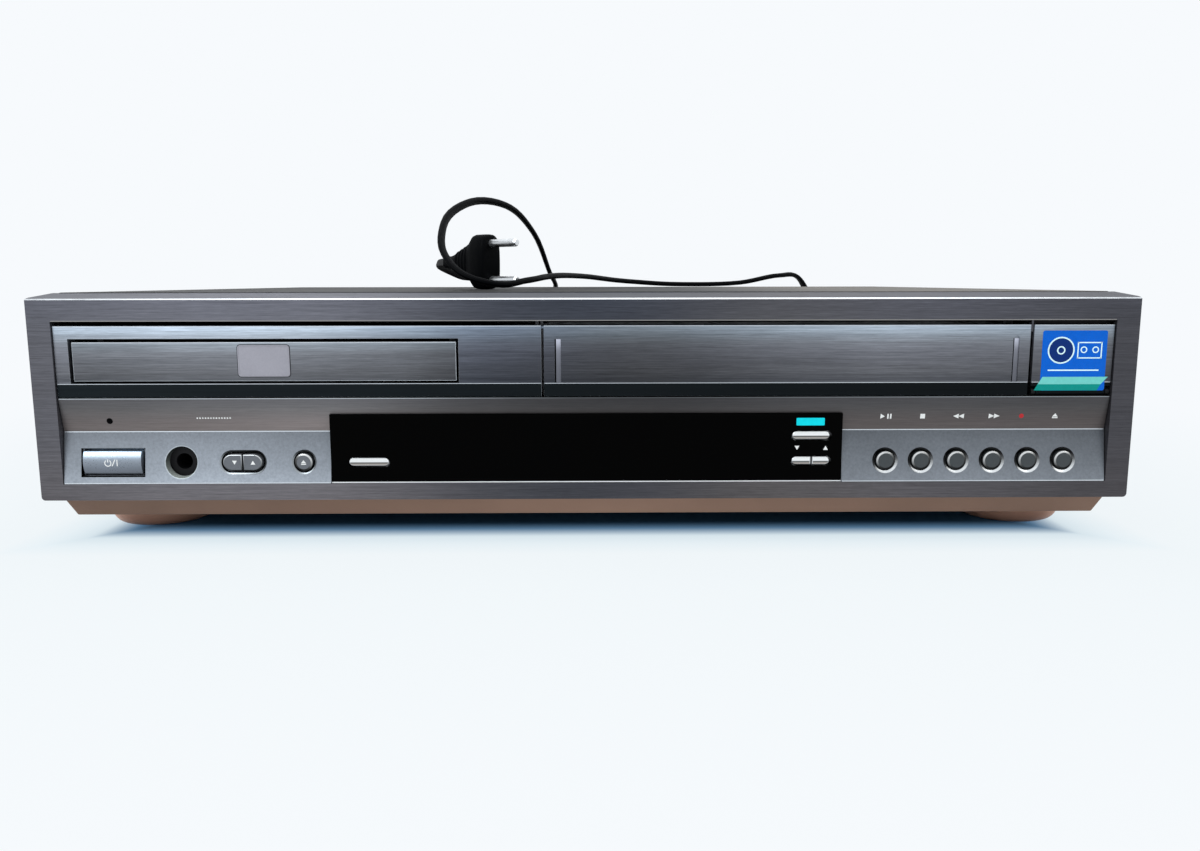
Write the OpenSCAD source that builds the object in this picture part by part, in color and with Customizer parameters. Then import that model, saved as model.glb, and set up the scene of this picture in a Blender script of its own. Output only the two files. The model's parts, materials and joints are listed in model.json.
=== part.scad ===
// Disc player and video cassette recorder in one cabinet.
// Millimetres, +Z up, front towards -Y. The origin lies on the floor,
// midway between the front frame and the ends of the rear sockets.

/* [Cabinet] */
// Depth from the front frame to the rear panel
cabinet_d = 333; // [325:1:350]
// Thickness of the steel sheet
sheet_t = 1.0; // [0.8:0.1:1.2]
// How far the cover stands back from each side of the front frame
cover_inset = 5; // [4:0.5:6]
// How far the cover rises above the front edge of the frame
top_rise = 2.25; // [1.5:0.25:3]
// Bend radius of the cover
cover_r = 3; // [2:0.5:5]
// Reach of the rear sockets behind the rear panel
socket_reach = 7; // [6.5:0.5:8]

/* [Base] */
// Height of the feet
foot_h = 9.7; // [8:0.1:12]
// Radius of a foot at its top
foot_r = 22; // [18:0.5:24]
// Distance of the feet from the cabinet's sides
foot_inset = 0.5; // [0.5:0.5:8]
// Distance of the front feet behind the front frame
foot_setback = 48; // [35:1:60]
// Distance between the front and rear feet
foot_span = 240; // [220:1:250]
// Height of the plinth
plinth_h = 8.1; // [6:0.1:10]
// Wall of the plinth
plinth_t = 2.5; // [2:0.1:3]

/* [Front frame] */
// Width of the frame's side borders
frame_side = 9; // [8:0.5:11]
// Height of the frame's lower border
frame_foot = 6.5; // [5:0.1:8]
// Height of the frame's upper border
frame_head = 8.75; // [7:0.25:10]
// Depth of the frame
frame_d = 12; // [11:0.5:12]
// Gap above the upper panels
head_gap = 1.8; // [1.8:0.1:2.5]
// Gap at the ends of the panels
end_gap = 0.3; // [0.2:0.05:0.5]

/* [Upper panels] */
// Height of the upper panels
band_h = 27.6; // [27.4:0.1:30]
// How far the upper panels lie behind the frame's front
band_recess = 1.0; // [0.6:0.1:1.2]
// Thickness of the upper panels
band_t = 2.2; // [2:0.1:2.4]
// Width of the disc panel
disc_panel_w = 188.1; // [184:0.1:195]
// Gap between the disc panel and the cassette flap
flap_gap = 1.0; // [0.8:0.1:1.2]
// Width of the cassette flap
flap_w = 189.6; // [189:0.1:196]
// Gap between the cassette flap and the socket door
door_gap = 1.4; // [1.3:0.1:1.8]
// Width of the socket door
door_w = 31.3; // [31:0.1:36]
// Gap below the upper panels
band_gap = 0.4; // [0.3:0.05:0.6]
// Width of the tray's front
tray_w = 148.7; // [146:0.1:150]
// Height of the tray's front
tray_h = 15.4; // [14:0.1:16]
// Gap around the tray's front
tray_gap = 1.0; // [0.6:0.1:1.2]
// Distance of the tray's front from the left end of the disc panel
tray_inset = 6.3; // [5:0.1:10]
// Height of the tray's front above the lower edge of the panel
tray_lift = 6.3; // [6:0.1:7]
// Width of the vertical grooves in the flap
groove_w = 2.4; // [1.5:0.1:3]
// Distance of the grooves from the flap's ends
groove_inset = 4.2; // [3:0.1:8]

/* [Lower panels] */
// Height of the label strip
strip_h = 13.3; // [12:0.1:15]
// Height of the control panel
panel_h = 20.5; // [19:0.1:22]
// Recess of the label strip's upper edge
strip_recess = 0.8; // [0.5:0.1:1.2]
// Recess of the line where strip and panel meet
fold_recess = 3.3; // [2.5:0.1:3.5]
// Recess of the control panel's lower edge
panel_recess = 0.2; // [0.1:0.1:0.6]
// Recess of the panels' rear faces
panel_back = 5.8; // [5.6:0.1:6]
// Width of the display window
window_w = 201.6; // [196:0.2:204]
// Height of the display window
window_h = 26.9; // [26:0.1:28]
// Thickness of the display window
window_t = 3; // [2.5:0.1:3]
// Recess of the display window
window_recess = 0.8; // [0.5:0.1:1]

/* [Buttons] */
// Travel of every button
travel = 0.8; // [0.5:0.1:0.8]
// Sliding clearance around a button
key_gap = 0.25; // [0.2:0.05:0.3]
// Width of the dark gap around a button
key_ring = 1.0; // [0.8:0.1:1.2]
// Radius of a round button
round_r = 4.0; // [3.5:0.1:4.2]
// Distance between the round buttons
round_pitch = 14.14; // [13.5:0.02:14.5]
// Distance of the last round button from the right panel end
round_inset = 17; // [14:0.5:20]
// Height of the button row above the control panel's lower edge
row_z = 8.3; // [8:0.1:9]
// Width of the power button
power_w = 23.1; // [20:0.1:25]
// Height of the power button
power_h = 10.1; // [9:0.1:11]
// Length of a pill-shaped button
pill_w = 15.5; // [14:0.1:17]
// Height of a pill-shaped button
pill_h = 3.5; // [3:0.1:4]

/* [Disc loader] */
// Width of the disc tray
drawer_w = 138; // [136:0.5:140]
// Thickness of the disc tray
drawer_t = 7; // [6.6:0.1:7.4]
// Travel of the disc tray
drawer_travel = 130; // [120:1:132]
// Length of the disc tray behind its front
drawer_l = 181; // [178:1:190]
// Radius of the recess for a large disc
disc_r = 61; // [60.5:0.1:62]
// Number of teeth on the tray gear
gear_teeth = 20; // [18:1:20]
// Size of the teeth
gear_module = 1.0; // [0.9:0.05:1]
// Lift of the disc motor's carrier
carrier_lift = 9.4; // [8.5:0.1:9.4]
// Travel of the laser pickup
pickup_travel = 34; // [25:1:35]

/* [Cassette deck] */
// Inward travel of the cassette carriage
carriage_travel = 35; // [30:1:40]
// Downward travel of the cassette cradle
cradle_drop = 21; // [18:0.5:21]
// Radius of the head drum
drum_r = 31; // [30.5:0.1:31]
// Tilt of the head drum
drum_tilt = 5; // [4:0.5:6]
// Radius of the capstan
capstan_r = 2.5; // [2:0.1:3]
// Radius of the pinch roller
roller_r = 6; // [5:0.1:6]
// Distance of the reels from the deck's middle
reel_x = 46.5; // [44:0.5:48]

/* [Fits] */
// Running clearance between a shaft and its bore
shaft_gap = 0.06; // [0.03:0.01:0.09]
// Side clearance between sliding plates
slide_gap = 0.4; // [0.3:0.05:0.5]
// Radius of the hinge pins
hinge_r = 0.7; // [0.6:0.05:0.8]
// Radius of the phono barrels
phono_r = 4.15; // [4.1:0.05:4.2]
// Radius of the headphone socket's bore
phones_r = 3.2; // [3.18:0.01:3.25]

/* [Mains lead] */
// Width of the flat lead
lead_w = 5; // [4:0.1:6]
// Thickness of the flat lead
lead_t = 3; // [2.4:0.1:3.2]
// Length of a plug pin
pin_l = 19; // [17:0.5:20]
// Radius of a plug pin
pin_r = 2; // [1.9:0.05:2.4]

/* [Hidden] */
$fn = 48;
eps = 0.02;

// Overall sizes
overall_w = 2 * frame_side + 2 * end_gap + disc_panel_w + flap_gap + flap_w + door_gap + door_w;
frame_z0 = foot_h + plinth_h;
open_z0 = frame_z0 + frame_foot;
panel_seat = 0.1;
panel_z0 = open_z0 + panel_seat;
panel_z1 = panel_z0 + panel_h;
strip_z1 = panel_z1 + strip_h;
band_z0 = strip_z1 + band_gap;
band_z1 = band_z0 + band_h;
open_z1 = band_z1 + head_gap;
frame_z1 = open_z1 + frame_head;
top_z = frame_z1 + top_rise;
front_y = -(cabinet_d + socket_reach) / 2;
rear_y = front_y + cabinet_d;
open_x = overall_w / 2 - frame_side;
body_x = overall_w / 2 - cover_inset;
foot_x = body_x - foot_r - foot_inset;
cover_y0 = front_y + frame_d;

// Chassis levels
pan_z1 = frame_z0 + sheet_t;
board_z = 24;
board_t = 1.6;
board_top = board_z + board_t;
board_x = body_x - 9;
board_back = 6;
power_board_w = 106;
power_board_l = 85;
main_board_w = 281;
main_board_l = 91;
sink_w = 15.2;
sink_h = 28;
fin_pitch = 3;
fin_t = 1.2;

// Upper panels
band_y = front_y + band_recess;
disc_panel_x = -open_x + end_gap;
flap_x = disc_panel_x + disc_panel_w + flap_gap;
flap_cx = flap_x + flap_w / 2;
door_x = flap_x + flap_w + door_gap;
tray_x = disc_panel_x + tray_inset;
tray_cx = tray_x + tray_w / 2;
tray_z0 = band_z0 + tray_lift;
tray_z1 = tray_z0 + tray_h;
hinge_in = 1.4;
hinge_y = band_y + hinge_in;
flap_hinge_z = band_z1 - hinge_r;
door_hinge_z = band_z0 + hinge_in;
bearing_t = 0.8;
bearing_gap = 0.3;
bush_l = 3.2;

// Button positions: [x, z] of each one's middle
row_y = panel_z0 + row_z;
upper_row_z = row_y + 10.1;
power_at = [-open_x + 19.5, row_y];
left_span = open_x - window_w / 2;
phones_at = [-open_x + 0.44 * left_span, row_y];
level_at = [-open_x + 0.67 * left_span, row_y];
open_at = [-open_x + 0.898 * left_span, row_y];
select_at = [-window_w / 2 + 15.1, row_y];
copy_at = [window_w / 2 - 12.1, upper_row_z];
prog_at = [copy_at[0], row_y];
led_at = [-open_x + 18.8, panel_z1 + 4.2];
open_r = 3.8;
level_w = 16.4;
level_h = 7.4;
split = 0.5;
round_x = [for (i = [0:5]) open_x - round_inset - (5 - i) * round_pitch];
half_pill = pill_w / 4;
half_level = level_w / 4;
key_places = concat(
    [power_at, [level_at[0] - half_level, row_y], [level_at[0] + half_level, row_y],
     open_at, select_at, copy_at, [prog_at[0] - half_pill, row_y], [prog_at[0] + half_pill, row_y]],
    [for (x = round_x) [x, row_y]]);

// Depths behind the front frame's face, in the lower panels
flange_d = panel_back + bearing_gap;
flange_t = 1;
flange_grow = 1.1;
stem_r = 1.5;
stem_end = flange_d + flange_t + 1;
plunger_d = stem_end + travel + 0.1;
switch_d = plunger_d + 0.8;
switch_t = 3.5;
switch_w = 6;
board_d = switch_d + switch_t;
front_board_top = 56;
phones_w = 15;
phones_nose = 4.5;
phones_depth = 30;
post_z = row_y + 8.3;
post_x = window_w / 2 + 5.2;
stage_posts = [[-open_x + 3, post_z], [-post_x, post_z], [post_x, post_z], [open_x - 3, post_z]];
post_r = 2.5;
tube_w = 116;
tube_h = 17;
tube_d = 6.6;

// Socket recess behind the door
tub_y0 = band_y + band_t + 0.8;
tub_y1 = front_y + 21.6;
tub_t = 1.2;
tub_x0 = door_x + bearing_gap;
tub_x1 = door_x + door_w - bearing_gap;
front_phono_l = 8;
front_phonos_at = [[door_x + 8.6, band_z0 + 8.8], [door_x + 22.6, band_z0 + 8.8],
                   [door_x + 8.6, band_z0 + 20.8]];
mini_din_at = [door_x + 22.6, band_z0 + 20.8];
mini_din_r = 5.6;
mini_din_depth = 6;
phono_collar_r = 5.4;
boss_lo = [door_x + 3, band_z0 + 2.6];
boss_hi = [door_x + door_w - 2.7, band_z1 - 1];
boss_gap = 0.2;
boss_rim = 0.9;

// Disc loader
rack_h = 2.6;
drawer_z0 = tray_z0 + rack_h;
drawer_z1 = drawer_z0 + drawer_t;
drawer_y = band_y + 3;
disc_y = drawer_y + 66;
disc_floor = drawer_z0 + 4;
drawer_gap = 0.5;
loader_t = 2.5;
loader_x = drawer_w / 2 + drawer_gap;
loader_z0 = 40;
loader_z1 = drawer_z1 + 9;
loader_y0 = front_y + 17;
loader_y1 = loader_y0 + 173;
bridge_z0 = loader_z1 - loader_t;
ledge_gap = 0.3;
gear_pr = gear_module * gear_teeth / 2;
rack_x = drawer_w / 2 - 15;
gear_x = rack_x - gear_pr;
gear_y = front_y + 29;
gear_z0 = drawer_z0 - rack_h - 1;
gear_z1 = drawer_z0 - 0.4;
gear_pitch = PI * gear_module;
rack_teeth = ceil(drawer_travel / gear_pitch) + 4;
gear_post_r = 2;
guide_r = 2.5;
guide_l = 21;
guide_x = 53;
guides_y = [disc_y - 10, disc_y + 60];
carrier_z0 = 50;
carrier_t = 3;
rail_r = 1.5;
rail_x = 24;
rail_z = carrier_z0 + 5;
rail_y0 = disc_y + 12;
rail_y1 = disc_y + 78;
platter_z = carrier_z0 + 11.8;
platter_t = 2.5;
spindle_r = 1.5;
hub_r = 7.4;
lens_y = disc_y + 26;
clamp_r = 14.5;
clamp_z0 = drawer_z1 + 1.7;
neck_r = 12.2;

// Cassette deck
deck_z0 = 33;
deck_t = 2;
deck_top = deck_z0 + deck_t;
cassette_w = flap_w + 0.4;
wall_t = 1;
plate_t = 1.2;
cradle_x = cassette_w / 2;
carriage_x = cradle_x + wall_t + slide_gap;
deck_wall_x = carriage_x + plate_t + slide_gap;
deck_y0 = front_y + 24;
deck_l = 206;
deck_y1 = deck_y0 + deck_l;
deck_wall_l = 116;
deck_wall_h = 57;
cradle_z0 = band_z0 - 1;
cradle_z1 = band_z1 - 0.6;
cradle_pin_r = 1.5;
pin_slot_gap = 0.2;
cradle_pin = [front_y + 55, cradle_z0 + 4.4];
carriage_y0 = front_y + 30.5;
carriage_y1 = front_y + 82;
carriage_pin_z = 86;
carriage_pins_y = [front_y + 36, front_y + 76];
reel_y = front_y + 86;
reel_post_r = 2;
drum_y = front_y + 187;
drum_gap = 0.5;
capstan_at = [flap_cx + 49.8, front_y + 148];
pinch_pivot = [flap_cx + 71.8, front_y + 176];
pinch_l = 28;
pinch_rest = -95.2;
pinch_swing = 25;
arm_z0 = deck_top + 1.5;

// Rear sockets
rear_z = 37;
scart_w = 52;
scart_h = 22;
scart_x = [-110, -50];
rear_phono_x = [10, 24, 38];
aerial_x = [-188, -168];
aerial_r = 4.75;
grommet_x = 151;
grommet_z = 26;
grommet_l = 22;
vent_w = 2.4;
vent_h = 14;
vent_pitch = 7;
side_screws_y = [front_y + 70, rear_y - 63];
side_screw_z = 28;
rear_screws_x = [-196, 60, 196];
rear_screw_z = 88;
screw_r = 1.5;
screw_gap = 0.1;
screw_head_r = 4;
screw_head_t = 2.2;

// Mains lead: the plug stands on the cover, the coil lies behind the cabinet
plug_face = [-49, -42];
plug_turn = -42;
plug_l = 36;
plug_h = 28;
plug_t = 13.6;
pin_spacing = 18.6;
plug_z = top_z + plug_h / 2;
coil_r = 25;
coil_at = [176, 225];
coil_turns = 2.5;
coil_pitch = lead_t + 0.1;
coil_z = lead_t / 2 + 0.1;
lead_start = [
    [151, 185, 26], [151, 194, 24.4], [151, 202, 18], [151, 207.5, 9.6], [151, 215.5, 3.2],
    [151, 225, 1.6]];
lead_rest = [
    [201, 225, 9.4], [200, 207, 14], [193, 190, 33], [178, 177, 65], [164, 176, 92],
    [153, 167, 106], [137, 152, 107], [106, 134, 102], [62, 121, 101], [26, 89, 103],
    [-3, 28, 106], [-21, -34, 105.5], [-30, -62, 103.5], [-43, -78, 101.8], [-58, -79, 106],
    [-69, -69, 116], [-72, -50, 131], [-63, -14, 145], [-46, 30, 146], [-34, 76, 133],
    [-26, 130, 108], [-24, 155, 102.4], [-24, 173, 98], [-26, 180, 80], [-38, 178, 58],
    [-64, 178, 58], [-76, 180, 80], [-78, 173, 98], [-78, 155, 102.4], [-82, 80, 107],
    [-84, 10, 113], [-75.8, -17.9, 113]];

// Extrudes a shape drawn in X and Z from depth y0 to depth y1
module along_y(y0, y1) {
    translate([0, y1, 0]) rotate([90, 0, 0]) linear_extrude(y1 - y0) children();
}

// Extrudes a shape drawn in Y and Z from x0 to x1
module along_x(x0, x1) {
    translate([x0, 0, 0]) rotate([90, 0, 90]) linear_extrude(x1 - x0) children();
}

// A cylinder along Y
module rod_y(at, r, y0, y1) {
    translate([at[0], y1, at[1]]) rotate([90, 0, 0]) cylinder(r = r, h = y1 - y0);
}

// A cylinder along X, at [y, z]
module rod_x(at, r, x0, x1) {
    translate([x0, at[0], at[1]]) rotate([0, 90, 0]) cylinder(r = r, h = x1 - x0);
}

// A box from its lowest to its highest corner
module block(lo, hi) {
    translate(lo) cube(hi - lo);
}

// A rectangle from its lowest to its highest corner
module plate(lo, hi) {
    translate(lo) square(hi - lo);
}

// A pill outline around its middle
module pill(at, w, h) {
    translate(at) {
        square([w - h, h], center = true);
        for (s = [-1, 1]) translate([s * (w - h) / 2, 0]) circle(d = h);
    }
}

// One half of a pill outline: side is -1 for the left half and 1 for the right
module half_pill_outline(at, w, h, side) {
    intersection() {
        pill(at, w, h);
        translate([at[0] + side * (split / 2 + w / 2), at[1]]) square([w, 2 * h], center = true);
    }
}

// A bent sheet seen from the front, with round upper corners
module hood_outline(half_w, z0, z1, r) {
    plate([-half_w, z0], [half_w, z1 - r]);
    plate([-half_w + r, z0], [half_w - r, z1]);
    for (s = [-1, 1]) translate([s * (half_w - r), z1 - r]) circle(r);
}

// A flat-headed screw along its axis, the head's underside at z = 0
module screw(l) {
    difference() {
        cylinder(r = screw_head_r, h = screw_head_t);
        for (a = [0, 90]) rotate([0, 0, a])
            translate([-2.4, -0.5, screw_head_t - 1]) cube([4.8, 1, 2]);
    }
    translate([0, 0, -l]) cylinder(r = screw_r, h = l + eps);
}

// ---------- Cabinet ----------

module front_frame() {
    corner_r = 1.5;
    color("dimgray") {
        difference() {
            intersection() {
                along_y(front_y, front_y + frame_d) {
                    plate([-overall_w / 2, frame_z0 + corner_r], [overall_w / 2, top_z]);
                    plate([-overall_w / 2 + corner_r, frame_z0], [overall_w / 2 - corner_r, top_z]);
                    for (s = [-1, 1]) translate([s * (overall_w / 2 - corner_r), frame_z0 + corner_r])
                        circle(corner_r);
                }
                along_x(-overall_w / 2, overall_w / 2) polygon([
                    [front_y, frame_z0], [front_y, frame_z1 - 0.5], [front_y + 0.6, frame_z1],
                    [front_y + frame_d, top_z - 0.2], [front_y + frame_d, frame_z0]]);
                translate([0, 0, frame_z0]) linear_extrude(top_z - frame_z0) polygon([
                    [-overall_w / 2, front_y], [overall_w / 2, front_y],
                    [overall_w / 2, front_y + 3], [body_x + 0.4, front_y + frame_d],
                    [-body_x - 0.4, front_y + frame_d], [-overall_w / 2, front_y + 3]]);
            }
            along_y(front_y - 1, front_y + frame_d + 1) plate([-open_x, open_z0], [open_x, open_z1]);
        }
        flap_bearing();
    }
}

// The thin ear that carries the flap's right pin
module flap_bearing() {
    x = flap_x + flap_w + bearing_gap;
    difference() {
        block([x, hinge_y - 1, flap_hinge_z - 2], [x + bearing_t, front_y + frame_d - 1, open_z1 + 1]);
        rod_x([hinge_y, flap_hinge_z], hinge_r + shaft_gap, x - 1, x + 2);
    }
}

// The recess that holds the front sockets, with the door's two ears
module socket_tub() {
    z1 = open_z1 - 0.4;
    color("black") {
        difference() {
            block([tub_x0, tub_y0, strip_z1 + 0.1], [tub_x1, tub_y1, z1]);
            block([tub_x0 + tub_t, tub_y0 - 1, band_z0 + tub_t], [tub_x1 - tub_t, tub_y1 - 1.6, z1 - tub_t]);
            along_y(tub_y1 - 2, tub_y1 + 1)
                plate(boss_lo - [boss_gap, boss_gap], boss_hi + [boss_gap, boss_gap]);
        }
        block([tub_x0, tub_y0, z1 - tub_t], [tub_x1, front_y + frame_d - 1, open_z1]);
        for (x = [tub_x0, tub_x1 - 1.5]) difference() {
            union() {
                rod_x([hinge_y, door_hinge_z], hinge_in - 0.1, x, x + 1.5);
                block([x, hinge_y, door_hinge_z - hinge_in + 0.1],
                      [x + 1.5, tub_y0 + 1, door_hinge_z + hinge_in]);
            }
            rod_x([hinge_y, door_hinge_z], hinge_r + shaft_gap, x - 1, x + 3);
        }
    }
}

module disc_panel() {
    x0 = disc_panel_x;
    x1 = x0 + disc_panel_w;
    hole_lo = [tray_x - tray_gap, tray_z0 - tray_gap];
    hole_hi = [tray_x + tray_w + tray_gap, tray_z1 + tray_gap];
    rim = 1.2;
    color("slategray") difference() {
        union() {
            along_y(band_y, band_y + band_t) plate([x0, band_z0], [x1, band_z1]);
            along_y(band_y + 1, band_y + band_t + 4)
                plate(hole_lo - [rim, rim], hole_hi + [rim, rim]);
            block([x1 - 5, band_y + 1, flap_hinge_z - 3], [x1, hinge_y + 3, band_z1]);
        }
        along_y(band_y - 1, band_y + band_t + 6) plate(hole_lo, hole_hi);
        rod_x([hinge_y, flap_hinge_z], hinge_r + shaft_gap, x1 - bush_l, x1 + 1);
    }
}

// The front recess of the lower panels at a height
function recess_at(z) = z >= panel_z1
    ? fold_recess + (strip_recess - fold_recess) * (z - panel_z1) / strip_h
    : panel_recess + (fold_recess - panel_recess) * (z - panel_z0) / panel_h;

// Room for the display window, in front of a web
module window_notch() {
    grow = 0.15;
    along_y(front_y - 1, front_y + window_recess + window_t + grow)
        plate([-window_w / 2 - grow, panel_z0 - 1],
              [window_w / 2 + grow, panel_z0 + end_gap + window_h + grow]);
}

// The six-by-three outlines of the window's buttons, grown by a clearance
module window_keys_outline(grow) {
    for (at = [select_at, copy_at, prog_at]) pill(at, pill_w + 2 * grow, pill_h + 2 * grow);
}

module label_strip() {
    color("dimgray") difference() {
        along_x(-open_x + end_gap, open_x - end_gap) polygon([
            [front_y + fold_recess, panel_z1 + panel_seat], [front_y + strip_recess, strip_z1],
            [front_y + panel_back, strip_z1], [front_y + panel_back, panel_z1 + panel_seat]]);
        window_notch();
        rod_y(led_at, 0.85, front_y - 1, front_y + panel_back + 1);
    }
}

module control_panel() {
    back = front_y + panel_back;
    ring_d = 3.1;
    color("lightslategray") {
        difference() {
            along_x(-open_x + end_gap, open_x - end_gap) polygon([
                [front_y + panel_recess, panel_z0], [front_y + fold_recess, panel_z1],
                [back, panel_z1], [back, panel_z0]]);
            window_notch();
            along_y(front_y, back + 1) {
                window_keys_outline(key_gap);
                plate([-tube_w / 2 - 2, row_y - 3], [tube_w / 2 + 2, panel_z1 - 1]);
                translate(power_at)
                    square([power_w + 2 * key_gap, power_h + 2 * key_gap], center = true);
                pill(level_at, level_w + 2 * key_gap, level_h + 2 * key_gap);
            }
            along_y(front_y - 1, front_y + ring_d) {
                translate(power_at) square([power_w + 2 * key_ring, power_h + 1.2], center = true);
                pill(level_at, level_w + 2 * key_ring, level_h + 2 * key_ring);
            }
            rod_y(phones_at, 6.3, front_y - 1, back + 1);
            rod_y(open_at, open_r + key_gap, front_y, back + 1);
            rod_y(open_at, open_r + key_ring, front_y - 1, front_y + ring_d);
            for (x = round_x) {
                rod_y([x, row_y], round_r + key_gap, front_y, back + 1);
                rod_y([x, row_y], round_r + key_ring, front_y - 1, front_y + ring_d);
            }
        }
        for (p = stage_posts) rod_y(p, post_r, back - 1, front_y + board_d);
    }
}

module display_window() {
    y0 = front_y + window_recess;
    z0 = panel_z0 + end_gap;
    r = 1.5;
    color("black") along_y(y0, y0 + window_t) difference() {
        union() {
            plate([-window_w / 2, z0 + r], [window_w / 2, z0 + window_h]);
            plate([-window_w / 2 + r, z0], [window_w / 2 - r, z0 + window_h]);
            for (s = [-1, 1]) translate([s * (window_w / 2 - r), z0 + r]) circle(r);
        }
        window_keys_outline(key_gap);
    }
}

module top_cover() {
    z0 = frame_z0 + 0.2;
    color("gray") difference() {
        along_y(cover_y0, rear_y) difference() {
            hood_outline(body_x, z0, top_z, cover_r);
            translate([0, -1]) hood_outline(body_x - sheet_t, z0, top_z - sheet_t + 1, cover_r - sheet_t);
        }
        for (y = side_screws_y) rod_x([y, side_screw_z], screw_r + screw_gap, -overall_w, overall_w);
        for (i = [0:11], s = [-1, 1])
            translate([s * body_x, rear_y - 120 + i * vent_pitch, 62])
                cube([4 * sheet_t, vent_w, vent_h], center = true);
    }
}

module cover_screws() {
    color("silver") {
        for (y = side_screws_y, s = [-1, 1])
            translate([s * body_x, y, side_screw_z]) rotate([0, s * 90, 0]) screw(5);
        for (x = rear_screws_x)
            translate([x, rear_y, rear_screw_z]) rotate([-90, 0, 0]) screw(5);
    }
}

module chassis_pan() {
    half = body_x - sheet_t - 0.2;
    y0 = cover_y0 + 0.4;
    y1 = rear_y - sheet_t - 0.2;
    lip = 16;
    board_posts = concat(
        [for (x = [-196, -20, 74], y = [rear_y - 93, rear_y - 12]) [x, y]],
        [for (x = [100, 196], y = [rear_y - 87, rear_y - 12]) [x, y]]);
    color("silver") {
        block([-half, y0, frame_z0], [half, y1, pan_z1]);
        for (s = [-1, 1])
            difference() {
                translate([s * (half - sheet_t / 2), (y0 + y1) / 2, frame_z0 + lip / 2])
                    cube([sheet_t, y1 - y0, lip], center = true);
                for (y = side_screws_y)
                    rod_x([y, side_screw_z], screw_r + screw_gap, -overall_w, overall_w);
            }
        for (p = board_posts) translate([p[0], p[1], pan_z1 - eps])
            cylinder(r = post_r, h = board_z - pan_z1 + eps);
    }
}

module base_plinth() {
    top_x = body_x - 1.5;
    low_x = top_x - 2;
    y0 = front_y + 4;
    slope = 5.5;
    color("rosybrown") difference() {
        intersection() {
            along_x(-top_x, top_x) polygon([
                [y0, frame_z0], [y0 + slope, foot_h], [rear_y - slope, foot_h], [rear_y - 2, frame_z0]]);
            along_y(front_y, rear_y) polygon([
                [-top_x, frame_z0], [-low_x, foot_h], [low_x, foot_h], [top_x, frame_z0]]);
        }
        block([-low_x + plinth_t, y0 + slope + plinth_t, foot_h + plinth_t],
              [low_x - plinth_t, rear_y - slope - plinth_t, frame_z0 + 1]);
    }
}

module feet() {
    low_r = foot_r - 5;
    color("rosybrown")
        for (s = [-1, 1], y = [front_y + foot_setback, front_y + foot_setback + foot_span])
            translate([s * foot_x, y, 0]) rotate_extrude() difference() {
                union() {
                    square([low_r, foot_h]);
                    translate([0, foot_h - 2.5]) square([foot_r, 2.5]);
                    translate([low_r, foot_h - 2.5]) intersection() {
                        scale([5, foot_h - 2.5]) circle(1);
                        translate([0, -foot_h]) square([foot_r, foot_h]);
                    }
                }
                translate([-1, -1]) square([9, 3]);
            }
}

module rear_panel() {
    gap = 0.2;
    color("silver") difference() {
        along_y(rear_y - sheet_t, rear_y) difference() {
            hood_outline(body_x - sheet_t - gap, pan_z1, top_z - sheet_t - gap, cover_r - sheet_t);
            for (x = scart_x) translate([x, rear_z]) square([scart_w + 1, scart_h + 1], center = true);
            for (x = rear_phono_x) translate([x, rear_z]) circle(phono_collar_r + 0.3);
            for (x = aerial_x) translate([x, rear_z]) circle(6.8);
            translate([grommet_x, grommet_z]) circle(5);
            for (x = rear_screws_x) translate([x, rear_screw_z]) circle(screw_r + screw_gap);
            for (i = [0:9]) translate([90 + i * vent_pitch, 70])
                square([vent_w, vent_h], center = true);
        }
    }
}

module scart_sockets() {
    wall = 2.4;
    y1 = rear_y + 6.5;
    color("black") for (x = scart_x) {
        difference() {
            along_y(rear_y - 13, y1) translate([x, rear_z]) square([scart_w, scart_h], center = true);
            along_y(rear_y - 8, y1 + 1) translate([x, rear_z]) polygon([
                [-scart_w / 2 + wall, -6.8], [scart_w / 2 - wall, -6.8], [scart_w / 2 - wall, 6.8],
                [-scart_w / 2 + wall + 4, 6.8], [-scart_w / 2 + wall, 2.8]]);
        }
        along_y(rear_y - 9, y1 - 1) translate([x, rear_z]) square([40, 2.6], center = true);
        block([x - scart_w / 2, rear_y - 13, board_top], [x + scart_w / 2, rear_y - 3, rear_z - 10]);
    }
}

module tuner_can() {
    x0 = aerial_x[0] - 12;
    x1 = aerial_x[1] + 12;
    color("silver") {
        block([x0, rear_y - 55, board_top], [x1, rear_y - 1.5, board_top + 24]);
        rod_y([aerial_x[0], rear_z], aerial_r, rear_y - 2, rear_y + socket_reach);
        difference() {
            rod_y([aerial_x[1], rear_z], aerial_r + 1.4, rear_y - 2, rear_y + socket_reach);
            rod_y([aerial_x[1], rear_z], aerial_r, rear_y - 1, rear_y + socket_reach + 1);
        }
        rod_y([aerial_x[1], rear_z], 1.2, rear_y - 2, rear_y + socket_reach - 1);
    }
}

// A phono socket's barrel from y0, pointing towards dir
module phono(at, y0, l, dir) {
    lo = dir > 0 ? y0 : y0 - l;
    difference() {
        rod_y(at, phono_r, lo, lo + l);
        rod_y(at, 1.6, lo - (dir > 0 ? -1 : 1), lo + l + (dir > 0 ? 1 : -1));
    }
}

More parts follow.
